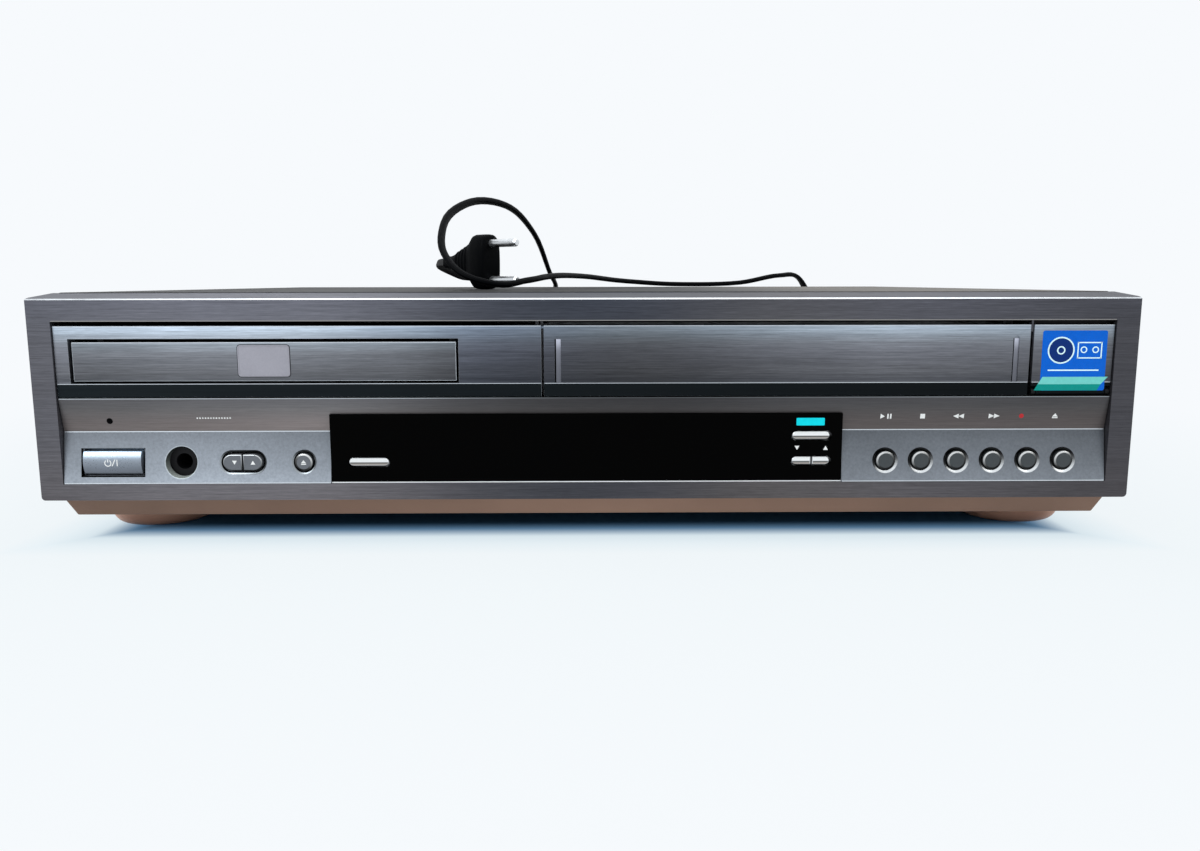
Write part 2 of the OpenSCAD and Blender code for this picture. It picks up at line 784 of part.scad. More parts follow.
module phono_sockets() {
    y = tub_y1;
    color("gold") {
        for (x = rear_phono_x) phono([x, rear_z], rear_y - 1.2, 8, 1);
        for (p = front_phonos_at) phono(p, y + eps, front_phono_l + 1.6, -1);
    }
    color("black") {
        block([rear_phono_x[0] - 6, rear_y - 13, board_top], [rear_phono_x[2] + 6, rear_y - 1.1, rear_z + 8]);
        for (x = rear_phono_x) rod_y([x, rear_z], phono_collar_r, rear_y - 1.2, rear_y + 0.4);
        for (p = front_phonos_at) rod_y(p, phono_collar_r, y - 1.8, y + eps);
        difference() {
            union() {
                along_y(y - 1.6, y + 1) plate(boss_lo, boss_hi);
                along_y(y, y + 2) plate(boss_lo - [boss_rim, boss_rim], boss_hi + [boss_rim, boss_rim]);
                along_y(y + 1, y + 8) plate(boss_lo + [boss_rim, 0], boss_hi);
                rod_y(mini_din_at, mini_din_r, y - mini_din_depth / 2, y + eps);
            }
            rod_y(mini_din_at, mini_din_r - 0.8, y - mini_din_depth, y + mini_din_depth / 2);
        }
    }
}

module phones_jack() {
    y0 = front_y + phones_nose;
    color("black") difference() {
        union() {
            rod_y(phones_at, 6, y0, front_y + 9);
            block([phones_at[0] - phones_w / 2, front_y + 8.5, phones_at[1] - 7],
                  [phones_at[0] + phones_w / 2, y0 + phones_depth + 1.5, phones_at[1] + 6.6]);
        }
        rod_y(phones_at, phones_r, y0 - 1, y0 + phones_depth);
    }
}

// ---------- Boards ----------

// The front board carries the key switches and the display tube
module front_board() {
    y = front_y + board_d;
    color("darkgreen") difference() {
        block([-open_x + 1, y, panel_z0 + 1], [open_x - 1, y + board_t, front_board_top]);
        block([phones_at[0] - phones_w / 2 - 0.3, y - 1, panel_z0],
              [phones_at[0] + phones_w / 2 + 0.3, y + 3, phones_at[1] + 6.9]);
    }
    color("black") for (p = key_places) {
        along_y(front_y + switch_d, y + eps) translate(p) square(switch_w, center = true);
        rod_y(p, 1.7, front_y + plunger_d, front_y + switch_d + eps);
    }
    color("darkslategray") along_y(front_y + tube_d, y + eps)
        translate([0, row_y + 5.2]) square([tube_w, tube_h], center = true);
}

module power_board() {
    x0 = board_x - power_board_w;
    y1 = rear_y - board_back;
    y0 = y1 - power_board_l;
    sink_x = board_x - sink_w;
    z = board_top - eps;
    color("darkgreen") block([x0, y0, board_z], [board_x, y1, board_top]);
    color("goldenrod") block([x0 + 9, y0 + 28, z], [x0 + 49, y0 + 64, z + 30]);
    color("black") {
        block([x0 + 15, y0 + 20, z], [x0 + 43, y0 + 72, z + 24]);
        translate([sink_x - 18, y0 + 22, z]) cylinder(r = 9, h = 32);
        for (i = [0:2]) translate([x0 + 61 + 14 * i, y0 + 68, z]) cylinder(r = 5, h = 18);
    }
    color("silver") {
        for (i = [0:4]) translate([sink_x + fin_pitch * i, y0 + 6, z]) cube([fin_t, 44, sink_h]);
        translate([sink_x, y0 + 26, z]) cube([4 * fin_pitch + fin_t, 2, sink_h]);
    }
}

module main_board() {
    y1 = rear_y - board_back;
    y0 = y1 - main_board_l;
    z = board_top - eps;
    color("darkgreen") block([-board_x, y0, board_z], [main_board_w - board_x, y1, board_top]);
    color("black") {
        for (x = [81, 131, 211]) translate([x - board_x, y0 + 14, z]) cube([26, 26, 3]);
        translate([25 - board_x, y0 + 14, z]) cube([26, 6, 9]);
    }
    color("silver") for (i = [0:7]) translate([171 - board_x + i * 12, y0 + 60, z])
        cylinder(r = 3.5, h = 11);
}

// ---------- Disc loader ----------

module loader_base() {
    leg_r = 4;
    color("dimgray") translate([tray_cx, 0, 0]) {
        difference() {
            block([-loader_x, loader_y0, loader_z0], [loader_x, loader_y1, loader_z0 + loader_t]);
            block([-50, disc_y - 27, loader_z0 - 1], [50, disc_y + 82, loader_z0 + loader_t + 1]);
        }
        for (s = [-1, 1]) {
            for (y = [loader_y0 + 6, loader_y1 - 6]) translate([s * (loader_x - 5), y, pan_z1])
                cylinder(r = leg_r, h = loader_z0 - pan_z1 + eps);
            for (y = guides_y) translate([s * guide_x, y, loader_z0 + loader_t - eps])
                cylinder(r = guide_r, h = guide_l);
        }
        translate([gear_x, gear_y, loader_z0 + loader_t - eps]) {
            cylinder(r = 4, h = gear_z0 - 3 - loader_z0 - loader_t);
            cylinder(r = gear_post_r, h = gear_z1 - loader_z0 - loader_t);
        }
    }
}

module loader_walls() {
    color("dimgray") translate([tray_cx, 0, 0]) {
        for (s = [-1, 1]) side_wall(s);
        difference() {
            block([-loader_x - 1, disc_y - 22, bridge_z0], [loader_x + 1, disc_y + 22, loader_z1]);
            translate([0, disc_y, bridge_z0 - 1]) cylinder(r = neck_r + slide_gap, h = loader_t + 2);
        }
    }
}

// A side wall of the loader with the tray's ledge and lip
module side_wall(s) {
    x0 = s > 0 ? loader_x : -loader_x - loader_t;
    block([x0, loader_y0, loader_z0], [x0 + loader_t, loader_y1, loader_z1]);
    ledge = 4;
    lip = 3;
    edge = s * (loader_x + 0.5);
    block([min(edge, edge - s * (ledge + 0.5)), loader_y0, drawer_z0 - ledge_gap - 2],
          [max(edge, edge - s * (ledge + 0.5)), loader_y1, drawer_z0 - ledge_gap]);
    block([min(edge, edge - s * (lip + 0.5)), loader_y0, drawer_z1 + ledge_gap],
          [max(edge, edge - s * (lip + 0.5)), loader_y1, drawer_z1 + ledge_gap + 1.5]);
}

module loader_motor() {
    z = loader_z0 + loader_t;
    color("silver") translate([tray_cx + gear_x - gear_pr - 14.5, gear_y, z]) {
        cylinder(r = 11, h = 16);
        cylinder(r = 1, h = 20);
        translate([0, 0, 16.5]) cylinder(r = 3, h = 3);
    }
}

module tray_front() {
    color("slategray") along_y(band_y, band_y + 3)
        plate([tray_x, tray_z0], [tray_x + tray_w, tray_z1]);
}

module disc_tray() {
    half = drawer_w / 2;
    y1 = drawer_y + drawer_l;
    slot = 22;
    z = drawer_z1 + 1;
    color("darkgray") translate([tray_cx, 0, 0]) {
        difference() {
            union() {
                block([-half, drawer_y, drawer_z0], [half, y1, drawer_z1]);
                block([rack_x + 1.15, gear_y - 2.5 * gear_pitch, drawer_z0 - rack_h],
                      [rack_x + 4.5, gear_y - 2.5 * gear_pitch + rack_teeth * gear_pitch, drawer_z0 + 1]);
            }
            translate([0, disc_y, disc_floor]) cylinder(r = disc_r, h = drawer_t, $fn = 96);
            translate([0, disc_y, disc_floor - 1.2]) cylinder(r = 41, h = drawer_t, $fn = 72);
            translate([0, disc_y, drawer_z0 - 1]) cylinder(r = slot - 2, h = z);
            block([-slot, disc_y, drawer_z0 - 1], [slot, y1 - 12, z]);
            for (x = [3 - half, half - 16])
                block([x, disc_y + 64, disc_floor], [x + 13, y1 - 12, z]);
        }
        for (i = [0:rack_teeth - 2]) translate([0, gear_y + (i - 2) * gear_pitch, 0]) rack_tooth();
    }
}

// One tooth of the rack on the tray's underside, pointing towards the gear
module rack_tooth() {
    tip = 0.9 * gear_module;
    translate([rack_x, 0, drawer_z0 - rack_h]) linear_extrude(rack_h + eps) polygon([
        [1.2, -1.05 * gear_module], [-tip, -0.3 * gear_module],
        [-tip, 0.3 * gear_module], [1.2, 1.05 * gear_module]]);
}

// Outline of a gear with straight-sided teeth and room for play
module gear_outline(teeth, m) {
    tip = teeth * m / 2 + 0.85 * m;
    root = teeth * m / 2 - 1.15 * m;
    step = 360 / teeth;
    polygon([for (i = [0:teeth - 1], k = [0:3])
        let (a = (i + 0.5) * step + [-0.34, -0.13, 0.13, 0.34][k] * step,
             r = [root, tip, tip, root][k])
        [r * cos(a), r * sin(a)]]);
}

module tray_gear() {
    color("ivory") translate([tray_cx + gear_x, gear_y, gear_z0]) difference() {
        union() {
            linear_extrude(gear_z1 - gear_z0) gear_outline(gear_teeth, gear_module);
            translate([0, 0, -2.6]) cylinder(r = 4, h = 2.8);
        }
        translate([0, 0, -4]) cylinder(r = gear_post_r + shaft_gap, h = 12);
    }
}

module motor_carrier() {
    half = 46;
    y0 = disc_y - 24;
    y1 = disc_y + 78;
    z1 = carrier_z0 + carrier_t;
    color("dimgray") translate([tray_cx, 0, 0]) difference() {
        union() {
            block([-half, y0, carrier_z0], [half, y1, z1]);
            for (s = [-1, 1], y = guides_y) translate([s * guide_x, y, carrier_z0]) {
                cylinder(r = 5, h = carrier_t);
                translate([-s * 5, 0, carrier_t / 2]) cube([10, 8, carrier_t], center = true);
            }
            translate([0, disc_y, carrier_z0 - 4]) cylinder(r = 11, h = 14);
            for (s = [-1, 1]) {
                rod_y([s * rail_x, rail_z], rail_r, rail_y0, rail_y1 - 2);
                for (y = [rail_y0, rail_y1 - 4])
                    block([s * rail_x - 3, y, carrier_z0], [s * rail_x + 3, y + 4, rail_z + 2.4]);
            }
        }
        block([-34, disc_y + 17, carrier_z0 - 1], [34, y1 - 6, z1 + 1]);
        for (s = [-1, 1], y = guides_y) translate([s * guide_x, y, carrier_z0 - 1])
            cylinder(r = guide_r + shaft_gap, h = carrier_t + 2);
        translate([0, disc_y, carrier_z0 - 1]) cylinder(r = spindle_r + shaft_gap, h = 14);
    }
}

module turntable() {
    color("darkslategray") translate([tray_cx, disc_y, 0]) {
        translate([0, 0, platter_z]) cylinder(r = 14, h = platter_t);
        translate([0, 0, platter_z + platter_t - eps]) cylinder(r1 = hub_r, r2 = hub_r - 1.6, h = 2.6);
        translate([0, 0, carrier_z0 + 2]) cylinder(r = spindle_r, h = platter_z - carrier_z0 - 1);
    }
}

module laser_pickup() {
    y0 = lens_y - 8.5;
    color("black") translate([tray_cx, 0, 0]) {
        difference() {
            block([-rail_x - 4, y0, rail_z - 2.5], [rail_x + 4, y0 + 17, rail_z + 2.5]);
            for (s = [-1, 1]) rod_y([s * rail_x, rail_z], rail_r + shaft_gap, y0 - 1, y0 + 18);
        }
        translate([0, lens_y, rail_z + 2]) cylinder(r = 4, h = platter_z + platter_t - 1.2 - rail_z - 2);
    }
}

module disc_clamp() {
    color("black") translate([tray_cx, disc_y, 0]) difference() {
        union() {
            translate([0, 0, clamp_z0]) cylinder(r = clamp_r, h = 3.6);
            translate([0, 0, clamp_z0 + 3]) cylinder(r = neck_r, h = loader_z1 - clamp_z0 - 2.5);
            translate([0, 0, loader_z1 + bearing_gap]) cylinder(r = clamp_r, h = 1.6);
        }
        translate([0, 0, clamp_z0 - 1]) cylinder(r = 8.4, h = 2.6);
    }
}

// ---------- Upper doors ----------

module cassette_flap() {
    x1 = flap_x + flap_w;
    color("slategray") {
        difference() {
            along_y(band_y, band_y + band_t) plate([flap_x, band_z0], [x1, band_z1]);
            for (x = [flap_x + groove_inset + groove_w / 2, x1 - groove_inset - groove_w / 2])
                along_y(band_y - 1, band_y + 0.5) {
                    translate([x, band_z1 - 5.4]) circle(d = groove_w);
                    plate([x - groove_w / 2, band_z0 + 5.2], [x + groove_w / 2, band_z1 - 5.4]);
                }
        }
        rod_x([hinge_y, flap_hinge_z], hinge_r, flap_x - flap_gap - bush_l + 0.6, flap_x + eps);
        rod_x([hinge_y, flap_hinge_z], hinge_r, x1 - eps, x1 + bearing_gap + bearing_t);
    }
}

module socket_door() {
    x1 = door_x + door_w;
    notch = 2.1;
    color("slategray") {
        difference() {
            union() {
                along_y(band_y, band_y + band_t) plate([door_x, door_hinge_z], [x1, band_z1]);
                rod_x([hinge_y, door_hinge_z], hinge_in, door_x, x1);
            }
            for (x = [door_x - 1, x1 - notch])
                block([x, band_y - 1, band_z0 - 1], [x + notch + 1, band_y + 4, door_hinge_z + notch]);
        }
        rod_x([hinge_y, door_hinge_z], hinge_r, tub_x0 + 0.3, tub_x1 - 0.3);
    }
}

// ---------- Cassette deck ----------

module deck_plate() {
    z = deck_top - eps;
    color("silver") translate([flap_cx, 0, 0]) difference() {
        union() {
            block([-deck_wall_x - plate_t, deck_y0, deck_z0], [deck_wall_x + plate_t, deck_y1, deck_top]);
            for (s = [-1, 1]) {
                for (y = [deck_y0 + 8, deck_y1 - 8]) translate([s * 88, y, pan_z1])
                    cylinder(r = 4, h = deck_z0 - pan_z1 + eps);
                translate([s * reel_x, reel_y, z]) cylinder(r = reel_post_r, h = 11);
                translate([s * 34, drum_y - 36, z]) cylinder(r = 3, h = 24);
            }
            translate([capstan_at[0] - flap_cx, capstan_at[1], deck_z0 - 2.2])
                cylinder(r = 6, h = deck_t + 3.4);
            translate([pinch_pivot[0] - flap_cx, pinch_pivot[1], z]) cylinder(r = 2, h = 12);
        }
        translate([capstan_at[0] - flap_cx, capstan_at[1], deck_z0 - 4])
            cylinder(r = capstan_r + shaft_gap, h = 12);
    }
}

module deck_walls() {
    slot_r = cradle_pin_r + pin_slot_gap;
    color("silver") translate([flap_cx, 0, 0]) for (s = [-1, 1]) {
        x = s > 0 ? deck_wall_x : -deck_wall_x - plate_t;
        difference() {
            block([x, deck_y0, deck_top], [x + plate_t, deck_y0 + deck_wall_l, deck_top + deck_wall_h]);
            block([x - 1, carriage_pins_y[0] - slot_r, carriage_pin_z - slot_r],
                  [x + 3, carriage_pins_y[1] + carriage_travel + slot_r, carriage_pin_z + slot_r]);
        }
    }
}

module cassette_carriage() {
    slot_r = cradle_pin_r + pin_slot_gap;
    z0 = deck_top + 2;
    z1 = carriage_pin_z + 5;
    color("darkgray") translate([flap_cx, 0, 0]) {
        for (s = [-1, 1]) {
            x = s > 0 ? carriage_x : -carriage_x - plate_t;
            difference() {
                block([x, carriage_y0, z0], [x + plate_t, carriage_y1, z1]);
                block([x - 1, cradle_pin[0] - slot_r, cradle_pin[1] - cradle_drop - slot_r],
                      [x + 3, cradle_pin[0] + slot_r, cradle_pin[1] + slot_r]);
            }
            for (y = carriage_pins_y) rod_x([y, carriage_pin_z], cradle_pin_r,
                s > 0 ? carriage_x + plate_t - eps : -deck_wall_x - plate_t,
                s > 0 ? deck_wall_x + plate_t : -carriage_x - plate_t + eps);
        }
        rod_x([carriage_y1 - 4, z1 - 3], 1.8, -carriage_x - eps, carriage_x + eps);
    }
}

module cassette_cradle() {
    ledge = 24;
    front = front_y + 20;
    rear = front_y + 80;
    color("darkgray") translate([flap_cx, 0, 0]) {
        for (s = [-1, 1]) {
            x = s > 0 ? cradle_x : -cradle_x - wall_t;
            block([x, carriage_y0 + 0.5, cradle_z0], [x + wall_t, rear, cradle_z1]);
            block([s > 0 ? cradle_x - ledge : -cradle_x - wall_t, front, cradle_z0],
                  [s > 0 ? cradle_x + wall_t : -cradle_x + ledge, rear, cradle_z0 + wall_t]);
            rod_x(cradle_pin, cradle_pin_r,
                s > 0 ? cradle_x + wall_t - eps : -carriage_x - plate_t + 0.2,
                s > 0 ? carriage_x + plate_t - 0.2 : -cradle_x - wall_t + eps);
        }
        block([-cradle_x - wall_t, front_y + 45, cradle_z1 - wall_t],
              [cradle_x + wall_t, front_y + 70, cradle_z1]);
    }
}

// Places a shape on the drum's tilted axis
module on_drum() {
    translate([flap_cx, drum_y, deck_top]) rotate([-drum_tilt, 0, 0]) children();
}

drum_s0 = 3.2;
drum_low_h = 15;
drum_s1 = drum_s0 + drum_low_h + drum_gap;

module drum_base() {
    color("lightgray") {
        on_drum() {
            translate([0, 0, drum_s0]) cylinder(r = drum_r, h = drum_low_h, $fn = 96);
            translate([0, 0, drum_s0]) cylinder(r = 3, h = drum_low_h + 12);
        }
        translate([flap_cx, drum_y, deck_top]) cylinder(r = 18, h = 6);
    }
}

module head_drum() {
    color("gainsboro") on_drum() translate([0, 0, drum_s1]) difference() {
        union() {
            cylinder(r = drum_r, h = 11, $fn = 96);
            translate([0, 0, 10.9]) cylinder(r = 13, h = 2);
        }
        translate([0, 0, -1]) cylinder(r = 3 + shaft_gap, h = 20);
        for (a = [0, 180]) rotate([0, 0, a]) translate([drum_r - 3, -2, -1]) cube([5, 4, 3]);
    }
}

module capstan() {
    color("silver") translate([capstan_at[0], capstan_at[1], 0]) {
        translate([0, 0, deck_z0 - 9.5]) cylinder(r = 20, h = 7);
        translate([0, 0, deck_z0 - 3]) cylinder(r = capstan_r, h = 28);
    }
}

module reel(x) {
    translate([flap_cx + x, reel_y, deck_top]) difference() {
        union() {
            translate([0, 0, 1]) cylinder(r = 14, h = 2.5);
            translate([0, 0, 3]) cylinder(r = 5, h = 9);
            for (a = [0, 120, 240]) rotate([0, 0, a]) translate([4, -0.9, 3]) cube([3.4, 1.8, 7]);
        }
        translate([0, 0, -1]) cylinder(r = reel_post_r + shaft_gap, h = 12.4);
    }
}

module supply_reel() {
    color("black") reel(-reel_x);
}

module take_up_reel() {
    color("black") reel(reel_x);
}

module pinch_arm() {
    tip = [pinch_l * cos(pinch_rest), pinch_l * sin(pinch_rest)];
    color("silver") translate([pinch_pivot[0], pinch_pivot[1], arm_z0]) {
        difference() {
            union() {
                cylinder(r = 4.5, h = 3);
                translate([tip[0], tip[1], 0]) cylinder(r = 4.5, h = 3);
                rotate([0, 0, pinch_rest]) translate([0, -3, 0]) cube([pinch_l, 6, 3]);
                cylinder(r = 3.6, h = 8);
            }
            translate([0, 0, -1]) cylinder(r = 2 + shaft_gap, h = 14);
        }
        translate([tip[0], tip[1], 3 - eps]) cylinder(r = 1.5, h = 17.5);
    }
    color("black") translate([pinch_pivot[0] + tip[0], pinch_pivot[1] + tip[1], arm_z0 + 3.3])
        cylinder(r = roller_r, h = 15);
}

// ---------- Buttons ----------

// The flange and stem behind a button; children() is the flange's outline
module button_back(at) {
    y = front_y + flange_d;
    along_y(y, y + flange_t) children();
    rod_y(at, stem_r, y + flange_t - eps, front_y + stem_end);
}

module round_button(at, r) {
    y = front_y + 0.4;
    bevel = 0.6;
    color("gray") {
        rod_y(at, r, y + bevel, front_y + flange_d + eps);
        translate([at[0], y + bevel + eps, at[1]]) rotate([90, 0, 0])
            cylinder(r1 = r, r2 = r - bevel, h = bevel + eps);
        button_back(at) translate(at) circle(r + flange_grow);
    }
}

module pill_button(at) {
    color("silver") {
        along_y(front_y + window_recess - 0.5, front_y + flange_d + eps) pill(at, pill_w, pill_h);
        button_back(at) pill(at, pill_w + 2 * flange_grow, pill_h + 2 * flange_grow);
    }
}

module half_button(at, w, h, side, recess) {
    color("silver") {
        along_y(front_y + recess, front_y + flange_d + eps) half_pill_outline(at, w, h, side);
        button_back([at[0] + side * w / 4, at[1]])
            half_pill_outline(at, w + 2 * flange_grow, h + 2 * flange_grow, side);
    }
}

module power_button() {
    bulge = 1.2;
    r = (pow(power_h / 2, 2) + bulge * bulge) / (2 * bulge);
    y = front_y + 0.3;
    x0 = power_at[0] - power_w / 2;
    color("lightsteelblue") {
        intersection() {
            along_y(y, y + bulge + 1.2) translate(power_at) square([power_w, power_h], center = true);
            rod_x([y + r, power_at[1]], r, x0 - 1, x0 + power_w + 1);
        }
        along_y(y + bulge + 1.1, front_y + flange_d + eps)
            translate(power_at) square([power_w, power_h], center = true);
        button_back(power_at) translate(power_at)
            square([power_w + 2 * flange_grow, power_h + 2 * flange_grow], center = true);
    }
}

module level_down_button() {
    half_button(level_at, level_w, level_h, -1, 0.5);
}

module level_up_button() {
    half_button(level_at, level_w, level_h, 1, 0.5);
}

module prog_down_button() {
    half_button(prog_at, pill_w, pill_h, -1, window_recess - 0.5);
}

module prog_up_button() {
    half_button(prog_at, pill_w, pill_h, 1, window_recess - 0.5);
}

// ---------- Mains lead ----------

module cord_grommet() {
    color("black") {
        rod_y([grommet_x, grommet_z], 4.8, rear_y - 5, rear_y + eps);
        rod_y([grommet_x, grommet_z], 7, rear_y, rear_y + 2);
        translate([grommet_x, rear_y + 2 - eps, grommet_z]) rotate([-90, 0, 0])
            cylinder(r1 = 5, r2 = 3.2, h = grommet_l - 2);
        rod_y([grommet_x, grommet_z], 7, rear_y - 4, rear_y - sheet_t - 0.3);
    }
}

function unit(v) = v / norm(v);

// The direction of the smooth curve through the points p at p[i]
function heading(p, i) =
    let (n = len(p) - 1, to = p[min(i + 1, n)] - p[i], from = p[i] - p[max(i - 1, 0)])
    i == 0 ? unit(to) : i == n ? unit(from) : unit(from * norm(to) / norm(from) + to * norm(from) / norm(to));

// A point on that curve between p[i] and p[i + 1]
function curve_point(p, i, t) =
    let (h = norm(p[i + 1] - p[i]), a = heading(p, i) * h, b = heading(p, i + 1) * h)
    (2 * pow(t, 3) - 3 * t * t + 1) * p[i] + (pow(t, 3) - 2 * t * t + t) * a
    + (3 * t * t - 2 * pow(t, 3)) * p[i + 1] + (pow(t, 3) - t * t) * b;

// Carries the lead's flat side along, ring by ring
function sides(q, i, side, found) = i > len(q) - 1 ? found :
    let (t = unit(q[min(i + 1, len(q) - 1)] - q[max(i - 1, 0)]),
         s = unit(side - (side * t) * t))
    sides(q, i + 1, s, concat(found, [[s, cross(t, s)]]));

// The lead between its coil and its ends: an eight-sided flat tube along the points
module lead(points, steps, side) {
    q = concat([for (i = [0:len(points) - 2], k = [0:steps - 1]) curve_point(points, i, k / steps)],
               [points[len(points) - 1]]);
    axes = sides(q, 0, side, []);
    n = 8;
    rings = [for (i = [0:len(q) - 1], k = [0:n - 1])
        q[i] + axes[i][0] * lead_w / 2 * cos(k * 45 + 22.5) + axes[i][1] * lead_t / 2 * sin(k * 45 + 22.5)];
    last = (len(q) - 1) * n;
    faces = concat(
        [[for (k = [0:n - 1]) k]],
        [for (i = [0:len(q) - 2], k = [0:n - 1], h = [0, 1])
            let (a = i * n + k, b = i * n + (k + 1) % n)
            h == 0 ? [a, a + n, b + n] : [a, b + n, b]],
        [[for (k = [n - 1:-1:0]) last + k]]);
    polyhedron(rings, faces);
}

module mains_cord() {
    color("black") {
        lead(lead_start, 2, [1, 0, 0]);
        lead(lead_rest, 2, [1, 0, 0]);
    }
}

module mains_coil() {
    color("black") translate([coil_at[0], coil_at[1], 0]) rotate_extrude($fn = 64)
        translate([coil_r - lead_w / 2, 0])
            square([lead_w, coil_z + coil_turns * coil_pitch + lead_t / 2]);
}

// Places a shape in the plug's own frame: +X along the pins, from the pins' face
module on_plug() {
    translate([plug_face[0], plug_face[1], plug_z]) rotate([0, 0, plug_turn]) children();
}

module mains_plug() {
    half = plug_h / 2;
    color("black") on_plug() along_y(-plug_t / 2, plug_t / 2) polygon([
        [0, -half + 1], [0, half - 1], [-1, half], [-10, half], [-13, half - 4], [-plug_l + 8, 4],
        [-plug_l, 3], [-plug_l, -3], [-plug_l + 8, -4], [-13, -half + 4], [-10, -half], [-1, -half]]);
}

module plug_pins() {
    color("silver") on_plug() for (s = [-1, 1])
        translate([-eps, 0, s * pin_spacing / 2]) rotate([0, 90, 0]) {
            cylinder(r = pin_r, h = pin_l - 1);
            translate([0, 0, pin_l - 1 - eps]) cylinder(r1 = pin_r, r2 = pin_r - 0.6, h = 1 + eps);
        }
}

front_frame();
disc_panel();
label_strip();
control_panel();
display_window();
top_cover();
cover_screws();
chassis_pan();
base_plinth();
feet();
rear_panel();
scart_sockets();
tuner_can();
phono_sockets();
phones_jack();
front_board();
power_board();
main_board();
socket_tub();
loader_base();
loader_walls();
loader_motor();
deck_plate();
deck_walls();
drum_base();
cord_grommet();
tray_front();
disc_tray();
tray_gear();
motor_carrier();
turntable();
laser_pickup();
disc_clamp();
cassette_flap();
socket_door();
cassette_carriage();
cassette_cradle();
head_drum();
capstan();
supply_reel();
take_up_reel();
pinch_arm();
power_button();
level_down_button();
level_up_button();
round_button(open_at, open_r);  // open_button
pill_button(select_at);  // select_button
pill_button(copy_at);  // copy_button
prog_down_button();
prog_up_button();
round_button([round_x[0], row_y], round_r);  // play_button
round_button([round_x[1], row_y], round_r);  // stop_button
round_button([round_x[2], row_y], round_r);  // rewind_button
round_button([round_x[3], row_y], round_r);  // forward_button
round_button([round_x[4], row_y], round_r);  // record_button
round_button([round_x[5], row_y], round_r);  // eject_button
mains_cord();
mains_coil();
mains_plug();
plug_pins();
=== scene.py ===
"""Looks for a low disc and cassette player: finishes, trims, printed marks and the mains lead."""

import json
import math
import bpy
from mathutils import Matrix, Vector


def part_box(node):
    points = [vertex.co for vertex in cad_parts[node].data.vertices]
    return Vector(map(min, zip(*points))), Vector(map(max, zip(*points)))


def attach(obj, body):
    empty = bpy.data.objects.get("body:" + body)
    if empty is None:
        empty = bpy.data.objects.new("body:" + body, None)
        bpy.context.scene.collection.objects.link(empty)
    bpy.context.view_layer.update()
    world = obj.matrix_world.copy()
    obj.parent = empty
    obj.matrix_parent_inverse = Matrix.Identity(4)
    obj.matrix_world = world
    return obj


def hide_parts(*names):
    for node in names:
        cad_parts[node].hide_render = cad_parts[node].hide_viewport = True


bl_info = {
    "name": "Disc and cassette player",
    "version": (1, 0, 0),
    "blender": (4, 5, 0),
    "location": "View3D > Sidebar > Player",
    "description": "Finishes, trims, marks and the mains lead of a disc and cassette player",
    "category": "Object",
}

import bmesh
import bpy
from bpy.props import FloatProperty, FloatVectorProperty, IntProperty, PointerProperty
from mathutils import Matrix, Vector

MM = 0.001

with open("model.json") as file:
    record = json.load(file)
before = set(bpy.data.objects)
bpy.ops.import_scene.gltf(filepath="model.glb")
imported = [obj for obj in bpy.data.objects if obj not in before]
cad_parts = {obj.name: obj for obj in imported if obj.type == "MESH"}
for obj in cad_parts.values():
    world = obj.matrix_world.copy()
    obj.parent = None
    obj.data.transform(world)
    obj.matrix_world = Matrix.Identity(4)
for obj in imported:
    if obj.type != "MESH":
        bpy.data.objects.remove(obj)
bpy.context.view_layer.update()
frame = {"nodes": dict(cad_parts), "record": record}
NODES = frame["nodes"]


def span(node, axis):
    """The lowest and highest place of a CAD node along an axis, 0 to 2, in millimetres."""
    low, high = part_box(node)
    return low[axis] / MM, high[axis] / MM


# Places worked out from the frame, in millimetres
FRONT_Y = span("front_frame", 1)[0]
PANEL_Z0, PANEL_Z1 = span("control_panel", 2)
STRIP_Z1 = span("label_strip", 2)[1]
BAND_Y = span("disc_panel", 1)[0]
BAND_Z0, BAND_Z1 = span("disc_panel", 2)
WINDOW_Y = span("display_window", 1)[0]
WINDOW_X = span("display_window", 0)[1]
OPEN_X = span("label_strip", 0)[1]
TRAY_X0, TRAY_X1 = span("tray_front", 0)
TRAY_Z0, TRAY_Z1 = span("tray_front", 2)
DOOR_X0, DOOR_X1 = span("socket_door", 0)
BASE_Z1 = span("base_plinth", 2)[1]

# Sizes of the solids that their boxes don't tell, in millimetres
STRIP_TOP_RECESS = 0.8
FOLD_RECESS = 3.3
PANEL_RECESS = 0.2
PANEL_H = 20.5
STRIP_H = 13.3
OPEN_Z1 = 88.0
BAND_T = 2.2
FLAP_X0, FLAP_X1 = -16.6, 173.0
GROOVE_W = 2.4
GROOVE_INSET = 4.2
GROOVE_DEEP = 0.5
KEY_RING = 1.0
KEY_FLANGE = 1.1
PHONES_NOSE = 4.5
BOARD_T = 1.6
LAMP_AT = (-187.2, 49.1)  # middle of the standby lamp's hole
REAR_VENTS = (121.5, 70, 74, 18)  # middle and size

# Sizes of what is printed or trimmed here, in millimetres
STRIPE_Z1 = 63.6
TRAY_GAP = 0.45
KEY_GAP = 0.5
BAR_TRIM_X, BAR_TRIM_Z = 0.8, 0.5
DOTS, DOTS_X, DOTS_PITCH = 13, -152.8, 1.07
GROOVE_Z, GROOVE_H = 72.2, 17.4
PHONES_R = 6.3
COLLAR_R = 4.3

SHARP = math.radians(32)  # edges sharper than this are softened or shaded hard
LOOKS = 0.3  # a face looks along an axis when its normal has more than this along it

